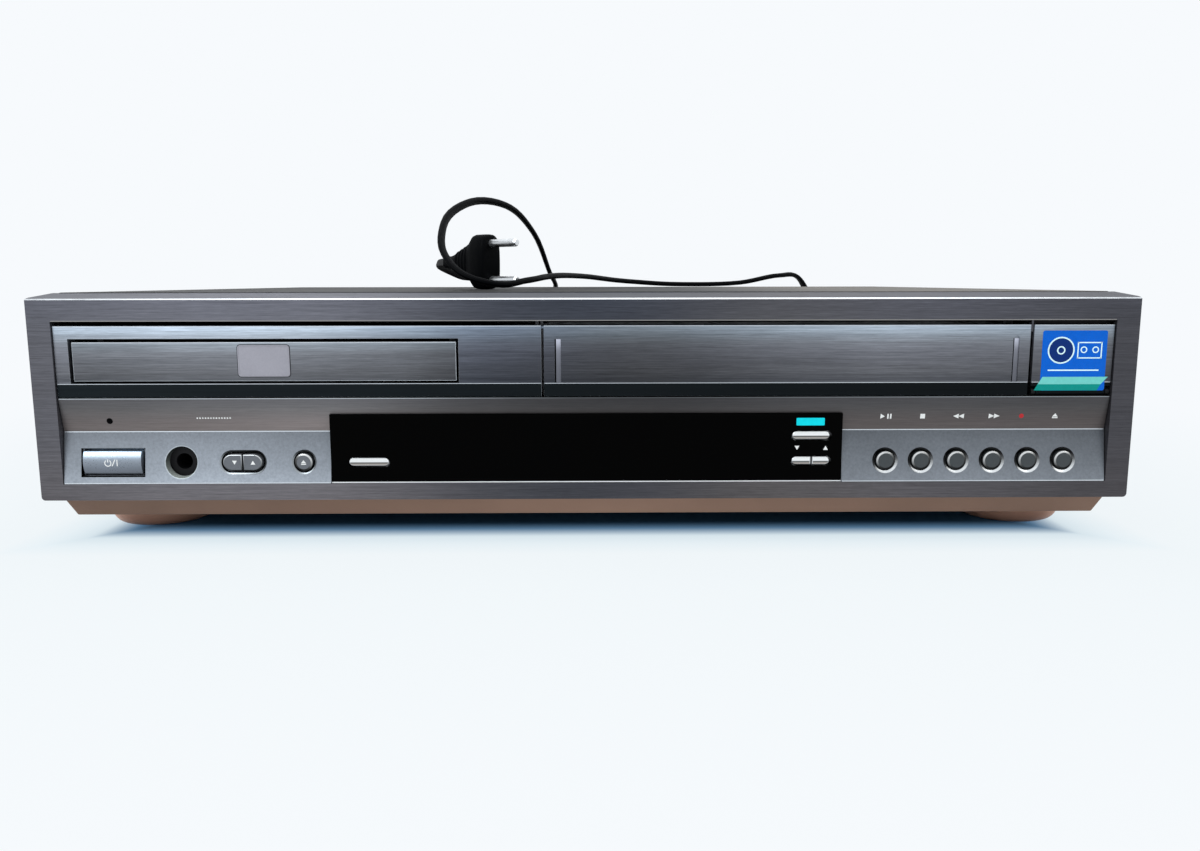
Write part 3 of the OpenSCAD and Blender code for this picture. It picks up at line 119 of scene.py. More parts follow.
PRESS_KEYS = [
    "power_button", "level_down_button", "level_up_button", "open_button", "select_button",
    "copy_button", "prog_down_button", "prog_up_button", "play_button", "stop_button",
    "rewind_button", "forward_button", "record_button", "eject_button",
]
ROUND_KEYS = PRESS_KEYS[8:]
DISC_KEYS = ROUND_KEYS + ["open_button"]
LEVEL_KEYS = ("level_down_button", "level_up_button")
BODY_OF = {n: b for b, members in frame["record"]["behaviour"]["bodies"].items() for n in members}


def srgb(red, green, blue):
    """A colour given as 0 to 255 values, as the linear values that shaders take."""
    def linear(v):
        v = v / 255
        return v / 12.92 if v <= 0.04045 else ((v + 0.055) / 1.055) ** 2.4
    return linear(red), linear(green), linear(blue)


def colour_property(name, description, default):
    return FloatVectorProperty(
        name=name, description=description, default=default, size=3, min=0, max=1, subtype="COLOR")


def length_property(name, description, millimetres):
    return FloatProperty(
        name=name, description=description, default=millimetres * MM, min=0, unit="LENGTH",
        precision=5)


# ---------- Settings ----------


class PlayerSizes(bpy.types.PropertyGroup):
    """Small sizes of the trims and printed marks."""

    edge: length_property("Panel edge", "Width of the softened edge of pressed metal", 0.16)
    key_edge: length_property("Key edge", "Width of the softened edge of a key", 0.3)
    ink: length_property("Ink height", "How far printed marks stand proud of their panel", 0.05)
    mark: length_property("Mark height", "Height of the transport symbols", 2.0)
    rim: length_property("Rim width", "Width of the bright chamfer in a key's hole", 0.9)
    coil_radius: length_property("Coil radius", "Radius of the lead's coil at the middle", 25.0)
    coil_points: IntProperty(
        name="Coil points", description="Points in each turn of the coil", default=24, min=12)


class PlayerColours(bpy.types.PropertyGroup):
    """Colours of the finishes."""

    frame: colour_property("Frame", "Brushed front frame", srgb(92, 91, 95))
    band: colour_property("Upper panels", "Brushed tray front, flap and door", srgb(94, 96, 101))
    strip: colour_property("Label strip", "Brushed strip with the symbols", srgb(92, 90, 91))
    panel: colour_property("Control panel", "Satin panel round the keys", srgb(140, 146, 154))
    window: colour_property("Window", "Smoked display window", srgb(3, 3, 3))
    stripe: colour_property("Caption stripe", "Dark foot of the upper panels", srgb(20, 25, 28))
    cover: colour_property("Cover", "Painted steel cover", srgb(66, 66, 66))
    base: colour_property("Base", "Moulded base", srgb(131, 103, 87))
    feet: colour_property("Feet", "Moulded feet", srgb(200, 150, 126))
    key: colour_property("Round keys", "Faces of the round keys", srgb(70, 74, 76))
    key_left: colour_property("Left keys", "Faces of the level and tray keys", srgb(104, 107, 112))
    power: colour_property("Power key", "Face of the power key", srgb(150, 160, 172))
    chrome: colour_property("Bright trim", "Plated rims and bar keys", srgb(206, 208, 210))
    # Painted highlight along the edges of panels
    highlight: colour_property("Bright edges", "Polished edges of panels", srgb(196, 202, 208))
    ink_white: colour_property("White ink", "Printed symbols", srgb(226, 226, 224))
    ink_red: colour_property("Red ink", "Record symbol", srgb(178, 44, 48))
    lead: colour_property("Lead", "Mains lead and plug", srgb(4, 5, 7))
    ground: colour_property("Ground", "Floor and backdrop", srgb(247, 250, 253))
    # A touch darker than the ground: painted shade near the player
    ground_near: colour_property("Ground near", "Floor close to the player", srgb(240, 246, 249))


def sizes():
    return bpy.context.scene.player_sizes


def colours():
    return bpy.context.scene.player_colours


def rgba(colour):
    return (*colour, 1.0)


# ---------- Finishes ----------


def put(tree, target, value):
    """Gives a shader input a value, or links an output to it."""
    if isinstance(value, bpy.types.NodeSocket):
        tree.links.new(value, target)
    else:
        target.default_value = value


def add_node(tree, kind, inputs=None, **settings):
    """A shader node with its settings, and its inputs as values or links."""
    made = tree.nodes.new(kind)
    for key, value in settings.items():
        setattr(made, key, value)
    for key, value in (inputs or {}).items():
        put(tree, made.inputs[key], value)
    return made


def maths(tree, operation, first, second=0.0):
    made = add_node(tree, "ShaderNodeMath", {0: first, 1: second}, operation=operation)
    return made.outputs["Value"]


def vector_maths(tree, operation, inputs):
    return add_node(tree, "ShaderNodeVectorMath", inputs, operation=operation).outputs["Vector"]


def object_place(tree):
    return add_node(tree, "ShaderNodeTexCoord").outputs["Object"]


def along(tree, axis):
    """The object coordinate along X, Y or Z, in metres."""
    return add_node(tree, "ShaderNodeSeparateXYZ", {"Vector": object_place(tree)}).outputs[axis]


def grain(tree, scale, detail=3.0, rough=0.6):
    """Noise in the object's own metres, stretched by one scale or by three."""
    stretch = add_node(tree, "ShaderNodeMapping", {
        "Vector": object_place(tree), "Scale": scale if isinstance(scale, tuple) else (scale,) * 3})
    return add_node(tree, "ShaderNodeTexNoise", {
        "Vector": stretch.outputs["Vector"], "Scale": 1.0, "Detail": detail,
        "Roughness": rough}).outputs["Fac"]


def remap(tree, value, low, high, from_low=0.3, from_high=0.7):
    """The value spread over low to high."""
    return add_node(tree, "ShaderNodeMapRange", {
        "Value": value, "From Min": from_low, "From Max": from_high, "To Min": low,
        "To Max": high}).outputs["Result"]


def blend(tree, factor, first, second):
    """A mix of two colours; each is a colour or a socket."""
    return add_node(
        tree, "ShaderNodeMix", {0: factor, 6: first, 7: second}, data_type="RGBA").outputs[2]


def ramp(tree, value, stops, interpolation="LINEAR"):
    """Colours that follow a value: stops are (place from 0 to 1, colour)."""
    made = add_node(tree, "ShaderNodeValToRGB", {"Fac": value})
    made.color_ramp.interpolation = interpolation
    points = made.color_ramp.elements
    while len(points) < len(stops):
        points.new(0.5)
    for point, (place, colour) in zip(points, stops):
        point.position = place
        point.color = rgba(colour)
    return made.outputs["Color"]


def toned(tree, tone, factor, curves=()):
    """The colour times a factor and each curve: (axis, stops), as in the painted light tables."""
    colour = vector_maths(tree, "SCALE", {0: tuple(tone), "Scale": factor})
    for axis, stops in curves:
        factors = [f if isinstance(f, tuple) else (f,) * 3 for _, f in stops]
        top = max(map(max, factors))
        low, high = stops[0][0] * MM, stops[-1][0] * MM
        curve = ramp(
            tree, remap(tree, along(tree, axis), 0.0, 1.0, low, high),
            [((place * MM - low) / (high - low), [f / top for f in three])
             for (place, _), three in zip(stops, factors)], "CARDINAL")
        light = vector_maths(tree, "SCALE", {0: curve, "Scale": top})
        colour = vector_maths(tree, "MULTIPLY", {0: colour, 1: light})
    return colour


def new_finish(name, tone, rough, metallic=0.0, specular=0.5):
    """A material with its Principled shader set, its node tree and the shader's inputs."""
    made = bpy.data.materials.new(name)
    made.use_nodes = True
    inputs = made.node_tree.nodes["Principled BSDF"].inputs
    inputs["Base Color"].default_value = rgba(tone)
    inputs["Roughness"].default_value = rough
    inputs["Metallic"].default_value = metallic
    inputs["Specular IOR Level"].default_value = specular
    return made, made.node_tree, inputs


def vary(tree, inputs, colour, rough=None, height=None, distance=0.0, strength=0.5):
    """Links the colour and the roughness, and a bump that follows the height."""
    put(tree, inputs["Base Color"], colour)
    if rough:
        put(tree, inputs["Roughness"], rough)
    if height:
        raised = add_node(tree, "ShaderNodeBump", {
            "Height": height, "Distance": distance, "Strength": strength})
        put(tree, inputs["Normal"], raised.outputs["Normal"])


def brushed(name, tone, rough, curves=(), streak=0.3, stripe=None):
    """Anodised metal brushed along X, with an optional dark printed stripe along its foot."""
    made, tree, inputs = new_finish(name, tone, rough, 0.8, 0.04)
    long_lines = grain(tree, (26.0, 500.0, 2600.0), 4.0, 0.8)
    short_lines = grain(tree, (150.0, 500.0, 4200.0), 3.0, 0.7)
    cloud = grain(tree, (9.0, 20.0, 60.0), 2.0)
    factor = maths(tree, "MULTIPLY", remap(tree, long_lines, 1 - streak, 1 + streak),
                   remap(tree, short_lines, 1 - 0.6 * streak, 1 + 0.6 * streak))
    factor = maths(tree, "MULTIPLY", factor, remap(tree, cloud, 0.95, 1.05))
    colour = toned(tree, tone, factor, curves)
    if stripe:
        edge = remap(tree, along(tree, "Z"), 0.0, 1.0, (stripe - 0.05) * MM, (stripe + 0.05) * MM)
        # The stripe's X curve is painted light: lighter at the left, darker at the right
        dark = toned(tree, colours().stripe, remap(tree, long_lines, 0.85, 1.15),
                     [("X", [(-210, 1.2), (0, 0.8), (210, 0.5)])])
        colour = blend(tree, edge, dark, colour)
        put(tree, inputs["Metallic"], remap(tree, edge, 0.0, 0.8, 0.0, 1.0))
    vary(tree, inputs, colour, remap(tree, long_lines, rough - 0.08, rough + 0.08),
         long_lines, 0.00004, 0.35)
    return made


def satin(name, tone, rough, metallic, speckle=0.08, curves=(), grain_size=1500.0):
    """Fine blasted or sprayed metal."""
    made, tree, inputs = new_finish(name, tone, rough, metallic, 0.15)
    dots = grain(tree, grain_size, 3.0, 0.7)
    factor = maths(tree, "MULTIPLY", remap(tree, dots, 1 - speckle, 1 + speckle),
                   remap(tree, grain(tree, 60.0, 4.0), 0.95, 1.05))
    vary(tree, inputs, toned(tree, tone, factor, curves),
         remap(tree, dots, rough - 0.05, rough + 0.08), dots, 0.00003, 0.3)
    return made


def moulded(name, tone, rough=0.5, specular=0.4, mottle=0.05, curves=(), texture=900.0,
            depth=0.00004):
    """Moulded plastic with a fine spark-eroded grain."""
    made, tree, inputs = new_finish(name, tone, rough, 0.0, specular)
    pits = grain(tree, texture, 4.0, 0.65)
    factor = remap(tree, grain(tree, 25.0, 2.0), 1 - mottle, 1 + mottle)
    vary(tree, inputs, toned(tree, tone, factor, curves),
         remap(tree, pits, rough - 0.06, rough + 0.1), pits, depth)
    return made


def plated(name, tone, rough, curves=()):
    """Bright plated metal or plated plastic with faint wear."""
    made, tree, inputs = new_finish(name, tone, rough, 1.0)
    cloud = grain(tree, 160.0, 4.0, 0.7)
    vary(tree, inputs, toned(tree, tone, remap(tree, cloud, 0.94, 1.0), curves),
         remap(tree, cloud, rough * 0.7, rough * 1.5))
    return made


def pressed_steel(name, tone, rough, spangle):
    """Galvanised sheet with a soft spangle."""
    made, tree, inputs = new_finish(name, tone, rough, 0.9)
    cells = add_node(tree, "ShaderNodeTexVoronoi", {"Vector": object_place(tree), "Scale": 140.0})
    cell = add_node(tree, "ShaderNodeSeparateColor", {"Color": cells.outputs["Color"]}).outputs
    factor = remap(tree, cell["Red"], 1 - spangle, 1 + spangle, 0.0, 1.0)
    vary(tree, inputs, toned(tree, tone, factor),
         remap(tree, cell["Green"], rough - 0.06, rough + 0.08, 0.0, 1.0))
    return made


def stoved_paint(name, tone):
    """Dark stoved paint on steel: a fine hammered skin with a satin shine."""
    made, tree, inputs = new_finish(name, tone, 0.52, 0.0, 0.03)
    skin = grain(tree, 1300.0)
    cloud = grain(tree, (14.0, 70.0, 40.0), 4.0)
    # COVER_LIGHT paints reflected light and shade along the cover, lighter to the right
    vary(tree, inputs, toned(tree, tone, remap(tree, cloud, 0.92, 1.09), COVER_LIGHT),
         remap(tree, cloud, 0.44, 0.58), skin, 0.00005, 0.35)
    return made


def smoked_window(name, tone):
    """Glossy smoked acrylic with faint dust."""
    made, tree, inputs = new_finish(name, tone, 0.08, 0.0, 0.012)
    specks = remap(tree, grain(tree, 900.0, 2.0), 0.0, 1.0, 0.76, 0.84)
    vary(tree, inputs, blend(tree, specks, rgba(tone), rgba(srgb(30, 30, 32))),
         remap(tree, grain(tree, (25.0, 25.0, 60.0)), 0.05, 0.14))
    return made


def printed(name, tone, rough=0.45):
    """Screen-printed ink: nearly even, with faint patches of thin cover."""
    made, tree, inputs = new_finish(name, tone, rough, 0.0, 0.12)
    vary(tree, inputs, toned(tree, tone, remap(tree, grain(tree, 700.0), 0.94, 1.02)))
    return made


def circuit_board(name, tone):
    """Green board below its surface height, dark parts of uneven tone above it."""
    made, tree, inputs = new_finish(name, tone, 0.45)
    traces = add_node(tree, "ShaderNodeTexBrick", {
        "Vector": object_place(tree), "Scale": 120.0, "Mortar Size": 0.04,
        "Color1": rgba(srgb(28, 78, 48)), "Color2": rgba(srgb(34, 88, 54)),
        "Mortar": rgba(srgb(96, 124, 70))})
    top = span("main_board", 2)[0] + BOARD_T + 0.1
    lifted = remap(tree, along(tree, "Z"), 0.0, 1.0, top * MM, (top + 0.05) * MM)
    parts = toned(tree, srgb(46, 46, 50), remap(tree, grain(tree, 60.0), 0.6, 1.7))
    vary(tree, inputs, blend(tree, lifted, traces.outputs["Color"], parts),
         remap(tree, lifted, 0.5, 0.35, 0.0, 1.0))
    return made


# Painted light and shade, how light falls off along and across the brushed front:
# (millimetres, factor or three factors)
FRAME_LIGHT = [
    ("X", [(-215, 0.98), (-160, 1.36), (-100, 1.32), (-60, (0.84, 0.86, 0.88)),
           (-25, (0.52, 0.56, 0.6)), (25, (0.54, 0.57, 0.6)), (70, (0.84, 0.83, 0.79)),
           (130, 0.9), (190, 0.68), (215, 0.64)]),
    ("Z", [(17, (1.12, 1.07, 1.05)), (40, (1.0, 1.0, 1.02)), (86, (0.97, 1.0, 1.05)),
           (97, (0.96, 1.0, 1.09))])]
BAND_LIGHT = [
    ("X", [(-206, 1.9), (-165, 2.25), (-105, 2.08), (-70, (1.42, 1.46, 1.52)),
           (-40, (0.86, 0.9, 0.99)), (10, 0.76), (50, 1.0), (100, 1.58), (130, 1.72), (206, 1.16)]),
    ("Z", [(58, (0.4, 0.4, 0.42)), (63.6, (0.76, 0.76, 0.76)), (64.6, (0.47, 0.47, 0.48)),
           (68, (0.62, 0.61, 0.61)), (72, (0.72, 0.71, 0.72)), (77, (0.93, 0.93, 0.95)),
           (80, (1.18, 1.22, 1.24)), (83, (1.65, 1.8, 1.86)), (86.2, (2.25, 2.5, 2.62))])]
TRAY_LIGHT = [
    ("X", [(-200, 1.2), (-139, 1.72), (-94, 1.42), (-70, 1.2), (-50, 0.78)]),
    ("Z", [(64.9, 0.62), (68, (0.76, 0.75, 0.74)), (72.6, 0.96), (76, (1.18, 1.2, 1.2)),
           (80.3, (1.68, 1.82, 1.84))])]
STRIP_LIGHT = [
    ("X", [(-206, 1.05), (-144, 1.3), (-100, 1.48), (-62, 0.92), (-30, 0.62), (30, 0.5), (80, 0.68),
           (130, 0.78), (206, 0.78)]),
    ("Z", [(44.9, (1.4, 1.28, 1.22)), (49, (1.3, 1.2, 1.16)), (53.7, 1.05),
           (58.2, (0.88, 0.9, 0.94))])]
PANEL_LIGHT = [
    ("X", [(-206, 0.78), (-150, 0.93), (-119, 0.83), (-95, 0.76), (95, 0.56), (150, 0.6),
           (206, 0.5)]),
    ("Z", [(24.4, 1.4), (30, 1.17), (36, 1.0), (41, 0.86), (44.9, 0.74)])]
COVER_LIGHT = [
    ("X", [(-215, 0.98), (-110, 1.05), (-50, 0.6), (15, 0.52), (60, 1.2), (120, (2.7, 2.55, 2.35)),
           (215, (2.9, 2.75, 2.5))])]
BASE_LIGHT = [("X", [(-206, 0.87), (-60, 1.14), (0, 1.3), (90, 1.17), (206, 1.03)])]
# Painted light round a key's hole and on a key's bevel, from the key's own middle
RIM_RIGHT_PAINTED_LIGHT = [("X", [(-5, 0.02), (-3.6, 0.3), (0, 0.95), (5, 0.95)]),
             ("Z", [(-5, 1.0), (-2.8, 0.9), (0, 0.3), (2, 0.05), (5, 0.02)])]
RIM_LEFT_PAINTED_LIGHT = [("X", [(-10, 0.95), (-3, 0.85), (1, 0.6), (4.5, 0.3), (10, 0.12)]),
            ("Z", [(-5, 0.6), (-2.5, 0.55), (1.5, 0.45), (3, 0.15), (5, 0.05)])]
BEVEL_RIGHT_PAINTED_LIGHT = [("X", [(-3.8, 1.0), (-1, 0.85), (1.5, 0.45), (3.8, 0.04)]),
               ("Z", [(-3.8, 0.02), (-1.8, 0.16), (1, 0.7), (3.8, 1.0)])]
BEVEL_LEFT_PAINTED_LIGHT = [("X", [(-3.8, 0.08), (-1.5, 0.4), (1, 0.85), (3.8, 1.0)]), BEVEL_RIGHT_PAINTED_LIGHT[1]]
# Painted highlight along the label strip's fold, brighter at the left
STRIP_EDGE_PAINTED_LIGHT = [("X", [(-206, 0.9), (-70, 0.75), (-20, 0.24), (60, 0.2), (130, 0.42), (206, 0.5)])]
# Painted reflection on the bar keys' faces, by height from their middle
BAR_PAINTED_REFLECTION = [("Z", [(-1.6, (0.5, 0.46, 0.43)), (-0.75, (0.36, 0.33, 0.31)), (-0.5, 0.05),
                    (-0.3, 0.4), (0.0, 1.0), (1.0, 1.0), (1.6, 0.7)])]
# Painted light on the keys' softened edges: bright above, dark below
KEY_BEVEL_PAINTED_LIGHT = [("Z", [(28, 0.1), (31, 0.16), (34, 0.6), (37.5, 1.0)])]
# Painted light on the grip grooves' floors, lighter towards the top
GROOVE_FLOOR_PAINTED_LIGHT = [("Z", [(63.6, 0.5), (72, 0.68), (77, 1.05), (80.8, 2.2)])]
# Painted light in the headphone throat: bright at the foot, dark at the top
PHONES_THROAT_PAINTED_LIGHT = [("Z", [(26.2, 1.15), (30, 0.75), (33, 0.3), (38.9, 0.05)])]
# Painted light on the power key: lighter at the top, darker at the foot
POWER_KEY_PAINTED_LIGHT = [("Z", [(27.5, (0.53, 0.5, 0.5)), (31, (0.64, 0.62, 0.62)), (34, 0.92),
                    (37.8, (1.15, 1.28, 1.34))])]

FINISHES = {
    # maker, colour or the name of its setting, then the maker's other values
    "frame_metal": (brushed, "frame", 0.42, FRAME_LIGHT),
    "frame_edge": (plated, srgb(206, 210, 214), 0.3),
    "band_metal": (brushed, "band", 0.36, BAND_LIGHT, 0.3, STRIPE_Z1),
    "tray_metal": (brushed, "band", 0.36, TRAY_LIGHT),
    "strip_metal": (brushed, "strip", 0.45, STRIP_LIGHT, 0.16),
    "panel_metal": (satin, "panel", 0.42, 0.6, 0.13, PANEL_LIGHT, 1000.0),
    "edge_light": (satin, "highlight", 0.35, 0.5, 0.04),
    "edge_bright": (satin, srgb(244, 246, 248), 0.35, 0.3, 0.03),
    "edge_soft": (satin, srgb(138, 136, 134), 0.4, 0.5, 0.04),
    "edge_strip": (satin, "highlight", 0.35, 0.5, 0.04, STRIP_EDGE_PAINTED_LIGHT),
    "gap_black": (moulded, srgb(4, 4, 5), 0.7, 0.02),
    "bar_shine": (plated, srgb(244, 246, 246), 0.2, BAR_PAINTED_REFLECTION),
    "rim_right": (plated, srgb(232, 236, 238), 0.25, RIM_RIGHT_PAINTED_LIGHT),
    "rim_left": (plated, srgb(206, 214, 220), 0.25, RIM_LEFT_PAINTED_LIGHT),
    "rim_soft": (plated, srgb(176, 184, 190), 0.35),
    "bevel_right": (plated, srgb(232, 234, 234), 0.3, BEVEL_RIGHT_PAINTED_LIGHT),
    "bevel_left": (plated, srgb(232, 234, 234), 0.3, BEVEL_LEFT_PAINTED_LIGHT),
    "key_bevel": (plated, srgb(214, 218, 220), 0.3, KEY_BEVEL_PAINTED_LIGHT),
    "groove_floor": (satin, srgb(132, 134, 144), 0.4, 0.6, 0.04, GROOVE_FLOOR_PAINTED_LIGHT),
    "throat_satin": (satin, srgb(176, 184, 180), 0.4, 0.4, 0.04, PHONES_THROAT_PAINTED_LIGHT),
    "badge_silver": (satin, srgb(150, 149, 157), 0.4, 0.6, 0.05),
    "window_black": (smoked_window, "window"),
    "cover_paint": (stoved_paint, "cover"),
    "bright_steel": (pressed_steel, srgb(168, 170, 172), 0.4, 0.055),
    "carriage_steel": (pressed_steel, srgb(150, 152, 156), 0.34, 0.05),
    "drum_metal": (brushed, srgb(196, 198, 202), 0.22, (), 0.05),
    "base_plastic": (moulded, "base", 0.5, 0.2, 0.07, BASE_LIGHT),
    "foot_plastic": (moulded, "feet", 0.42, 0.3, 0.12),
    "black_plastic": (moulded, srgb(14, 14, 16), 0.5, 0.15),
    "grey_plastic": (moulded, srgb(92, 94, 98)),
    "tray_plastic": (moulded, srgb(52, 54, 58), 0.42),
    "gear_plastic": (moulded, srgb(226, 224, 214), 0.42),
    "socket_brass": (plated, srgb(214, 178, 96), 0.22),
    "board": (circuit_board, srgb(30, 74, 46)),
    "key_metal": (satin, "key", 0.42, 0.5, 0.06),
    "key_left_metal": (satin, "key_left", 0.42, 0.5, 0.05),
    "key_chrome": (plated, "chrome", 0.2),
    "power_metal": (satin, "power", 0.3, 0.7, 0.03, POWER_KEY_PAINTED_LIGHT),
    "lead_plastic": (moulded, "lead", 0.5, 0.035, 0.05, (), 600.0, 0.00006),
    "pin_metal": (plated, srgb(232, 235, 238), 0.3),
    "ink_white": (printed, "ink_white"),
    "ink_red": (printed, "ink_red"),
    "ink_black": (printed, srgb(12, 12, 14)),
    "label_cyan": (printed, srgb(4, 208, 220), 0.3),
    "sticker_blue": (printed, srgb(0, 92, 196), 0.25),
    "sticker_navy": (printed, srgb(2, 42, 108), 0.25),
    "sticker_teal": (printed, srgb(4, 138, 128), 0.25),
    "sticker_white": (printed, srgb(214, 242, 244), 0.25),
    "sticker_mint": (printed, srgb(110, 198, 190), 0.25),
    "plug_yellow": (moulded, srgb(224, 184, 36), 0.4),
    "plug_white": (moulded, srgb(224, 222, 214), 0.4),
    "plug_red": (moulded, srgb(176, 38, 36), 0.4),
}
MADE = {}


def finish(name):
    """The finish of that name, made when it is first asked for."""
    if name not in MADE:
        maker, tone, *values = FINISHES[name]
        if isinstance(tone, str):
            tone = getattr(colours(), tone)
        MADE[name] = maker(name, tone, *values)
    return MADE[name]


NODE_FINISH = {
    "frame_metal": ["front_frame"],
    "band_metal": ["disc_panel", "cassette_flap", "socket_door"],
    "tray_metal": ["tray_front"],
    "strip_metal": ["label_strip"],
    "panel_metal": ["control_panel"],
    "window_black": ["display_window"],
    "cover_paint": ["top_cover"],
    "bright_steel": ["chassis_pan", "rear_panel", "cover_screws", "tuner_can", "deck_plate"],
    "carriage_steel": ["cassette_carriage", "cassette_cradle", "deck_walls"],
    "drum_metal": ["head_drum", "drum_base", "capstan"],
    "base_plastic": ["base_plinth"],
    "foot_plastic": ["feet"],
    "black_plastic": ["scart_sockets", "phones_jack", "socket_tub", "turntable", "disc_clamp",
                      "loader_motor", "pinch_arm", "laser_pickup"],
    "grey_plastic": ["loader_base", "loader_walls", "motor_carrier"],
    "tray_plastic": ["disc_tray"],
    "gear_plastic": ["tray_gear", "supply_reel", "take_up_reel"],
    "socket_brass": ["phono_sockets"],
    "board": ["front_board", "power_board", "main_board"],
    "key_metal": ROUND_KEYS,
    "key_left_metal": ["open_button", "level_down_button", "level_up_button"],
    "key_chrome": ["select_button", "copy_button", "prog_down_button", "prog_up_button"],
    "power_metal": ["power_button"],
    "lead_plastic": ["cord_grommet", "mains_cord", "mains_coil", "mains_plug"],
    "pin_metal": ["plug_pins"],
}
FINISH_OF = {node: name for name, nodes in NODE_FINISH.items() for node in nodes}


def dress(*nodes):
    """Gives CAD nodes their finish."""
    for node in nodes:
        for place in NODES[node].material_slots:
            place.material = finish(FINISH_OF[node])


# ---------- Mesh building ----------


def upright(normal):
    """Whether a face is a wall, which looks neither to the front nor to the back."""
    return abs(normal.y) < LOOKS


def smooth_shade(mesh):
    mesh.shade_smooth()
    mesh.set_sharp_from_angle(angle=SHARP)


def new_piece(name, mesh_maker, finish_name, body, smooth=True, at=(0, 0, 0)):
    """An object from a bmesh in millimetres about the point at, riding on a body."""
    mesh = bpy.data.meshes.new(name)
    shape = bmesh.new()
    mesh_maker(shape)
    bmesh.ops.recalc_face_normals(shape, faces=shape.faces)
    bmesh.ops.scale(shape, vec=(MM, MM, MM), verts=shape.verts)
    shape.to_mesh(mesh)
    shape.free()
    mesh.materials.append(finish(finish_name))
    piece = bpy.data.objects.new(name, mesh)
    piece.location = Vector(at) * MM
    bpy.context.scene.collection.objects.link(piece)
    if smooth:
        smooth_shade(mesh)
    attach(piece, body)
    return piece


def softened(node, width, segments=2, dark=None, bright=None, reshape=None):
    """A copy of a CAD node with its sharp edges softened, which stands for the node.

    Faces that dark picks turn black, as painted shade, and faces that bright picks take the painted
    highlight finish, as does every softened edge when bright is given. Reshape moves each corner,
    in millimetres.
    """
    mesh = NODES[node].data.copy()
    shape = bmesh.new()
    shape.from_mesh(mesh)
    bmesh.ops.remove_doubles(shape, verts=shape.verts, dist=2e-6)
    bmesh.ops.dissolve_limit(
        shape, angle_limit=math.radians(0.8), verts=shape.verts, edges=shape.edges)
    if reshape:
        for corner in shape.verts:
            corner.co = Vector(reshape(*(corner.co / MM))) * MM
        shape.normal_update()
    for face in shape.faces:
        middle = face.calc_center_median() / MM
        face.material_index = 0
        if dark and dark(middle, face.normal):
            face.material_index = 1
        elif bright and bright(middle, face.normal):
            face.material_index = 2
    shape.to_mesh(mesh)
    shape.free()
    mesh.materials.clear()
    # Slot 1 is the black of painted shade, slot 2 the painted highlight
    for name in (FINISH_OF[node], "gap_black", "edge_light"):
        mesh.materials.append(finish(name))
    piece = bpy.data.objects.new(node + "_shell", mesh)
    bpy.context.scene.collection.objects.link(piece)
    smooth_shade(mesh)
    bevel = piece.modifiers.new("soft_edges", "BEVEL")
    bevel.width = width
    bevel.segments = segments
    bevel.limit_method = "ANGLE"
    bevel.angle_limit = SHARP
    bevel.use_clamp_overlap = True
    bevel.harden_normals = True
    if bright:
        bevel.material = 2
    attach(piece, BODY_OF[node])
    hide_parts(node)
    return piece


def strip_surface(z):
    """Depth of the label strip's face at a height."""
    fold = (STRIP_Z1 - z) / STRIP_H
    return FRONT_Y + STRIP_TOP_RECESS + fold * (FOLD_RECESS - STRIP_TOP_RECESS)


def panel_surface(z):
    """Depth of the control panel's face at a height."""
    rise = (z - PANEL_Z0) / PANEL_H
    return FRONT_Y + PANEL_RECESS + rise * (FOLD_RECESS - PANEL_RECESS)


def depth(surface, z):
    """Depth of a surface at a height: the surface is a function of the height, or a plain depth."""
    return surface(z) if callable(surface) else surface


def rounded_outline(cx, cz, w, h, r, corner=6):
    """Points round a rectangle with round corners, and the way out from each."""
    points = []
    for sx, sz, start in ((1, 1, 0), (-1, 1, 90), (-1, -1, 180), (1, -1, 270)):
        for i in range(corner + 1):
            a = math.radians(start + 90 * i / corner)
            way = (math.cos(a), math.sin(a))
            points.append((cx + sx * (w / 2 - r) + r * way[0],
                           cz + sz * (h / 2 - r) + r * way[1], way))
    return points


def disc_outline(cx, cz, r, count=32):
    return [(cx + r * math.cos(a), cz + r * math.sin(a), (math.cos(a), math.sin(a)))
            for a in (math.tau * i / count for i in range(count))]


def fill(shape, outline, surface, lift, thick=0.1):
    """A thin plate with that outline, lift in front of the surface and thick behind it."""
    front, back = ([shape.verts.new((p[0], depth(surface, p[1]) + shift, p[1])) for p in outline]
                   for shift in (-lift, thick))
    shape.faces.new(front)
    shape.faces.new(back[::-1])
    for i in range(len(outline)):
        shape.faces.new((front[i - 1], back[i - 1], back[i], front[i]))


def ring(shape, outline, profile, surface):
    """A closed section swept round an outline: profile points are (outwards, depth)."""
    rows = []
    for x, z, way in outline:
        places = ((x + way[0] * out, z + way[1] * out, deep) for out, deep in profile)
        rows.append([shape.verts.new((px, depth(surface, pz) + deep, pz))
                     for px, pz, deep in places])
    for i, b in enumerate(rows):
        a = rows[i - 1]
        for k in range(len(profile)):
            shape.faces.new((a[k - 1], a[k], b[k], b[k - 1]))


def loft(shape, sections):
    """A skin over rings of points, closed at both ends."""
    rows = [[shape.verts.new(p) for p in section] for section in sections]
    for a, b in zip(rows, rows[1:]):
        for k in range(len(a)):
            shape.faces.new((a[k - 1], a[k], b[k], b[k - 1]))
    shape.faces.new(rows[0][::-1])
    shape.faces.new(rows[-1])


# ---------- Printed shapes: lists of outlines about a middle (cx, cz) ----------


def play_mark(cx, cz, h, w=None):
    w = w or 0.86 * h
    return [[(cx - w / 2, cz - h / 2), (cx + w / 2, cz), (cx - w / 2, cz + h / 2)]]


def back_mark(cx, cz, h, w=None):
    return [[(2 * cx - x, z) for x, z in reversed(play_mark(cx, cz, h, w)[0])]]


def up_mark(cx, cz, w, h):
    return [[(cx - w / 2, cz - h / 2), (cx + w / 2, cz - h / 2), (cx, cz + h / 2)]]


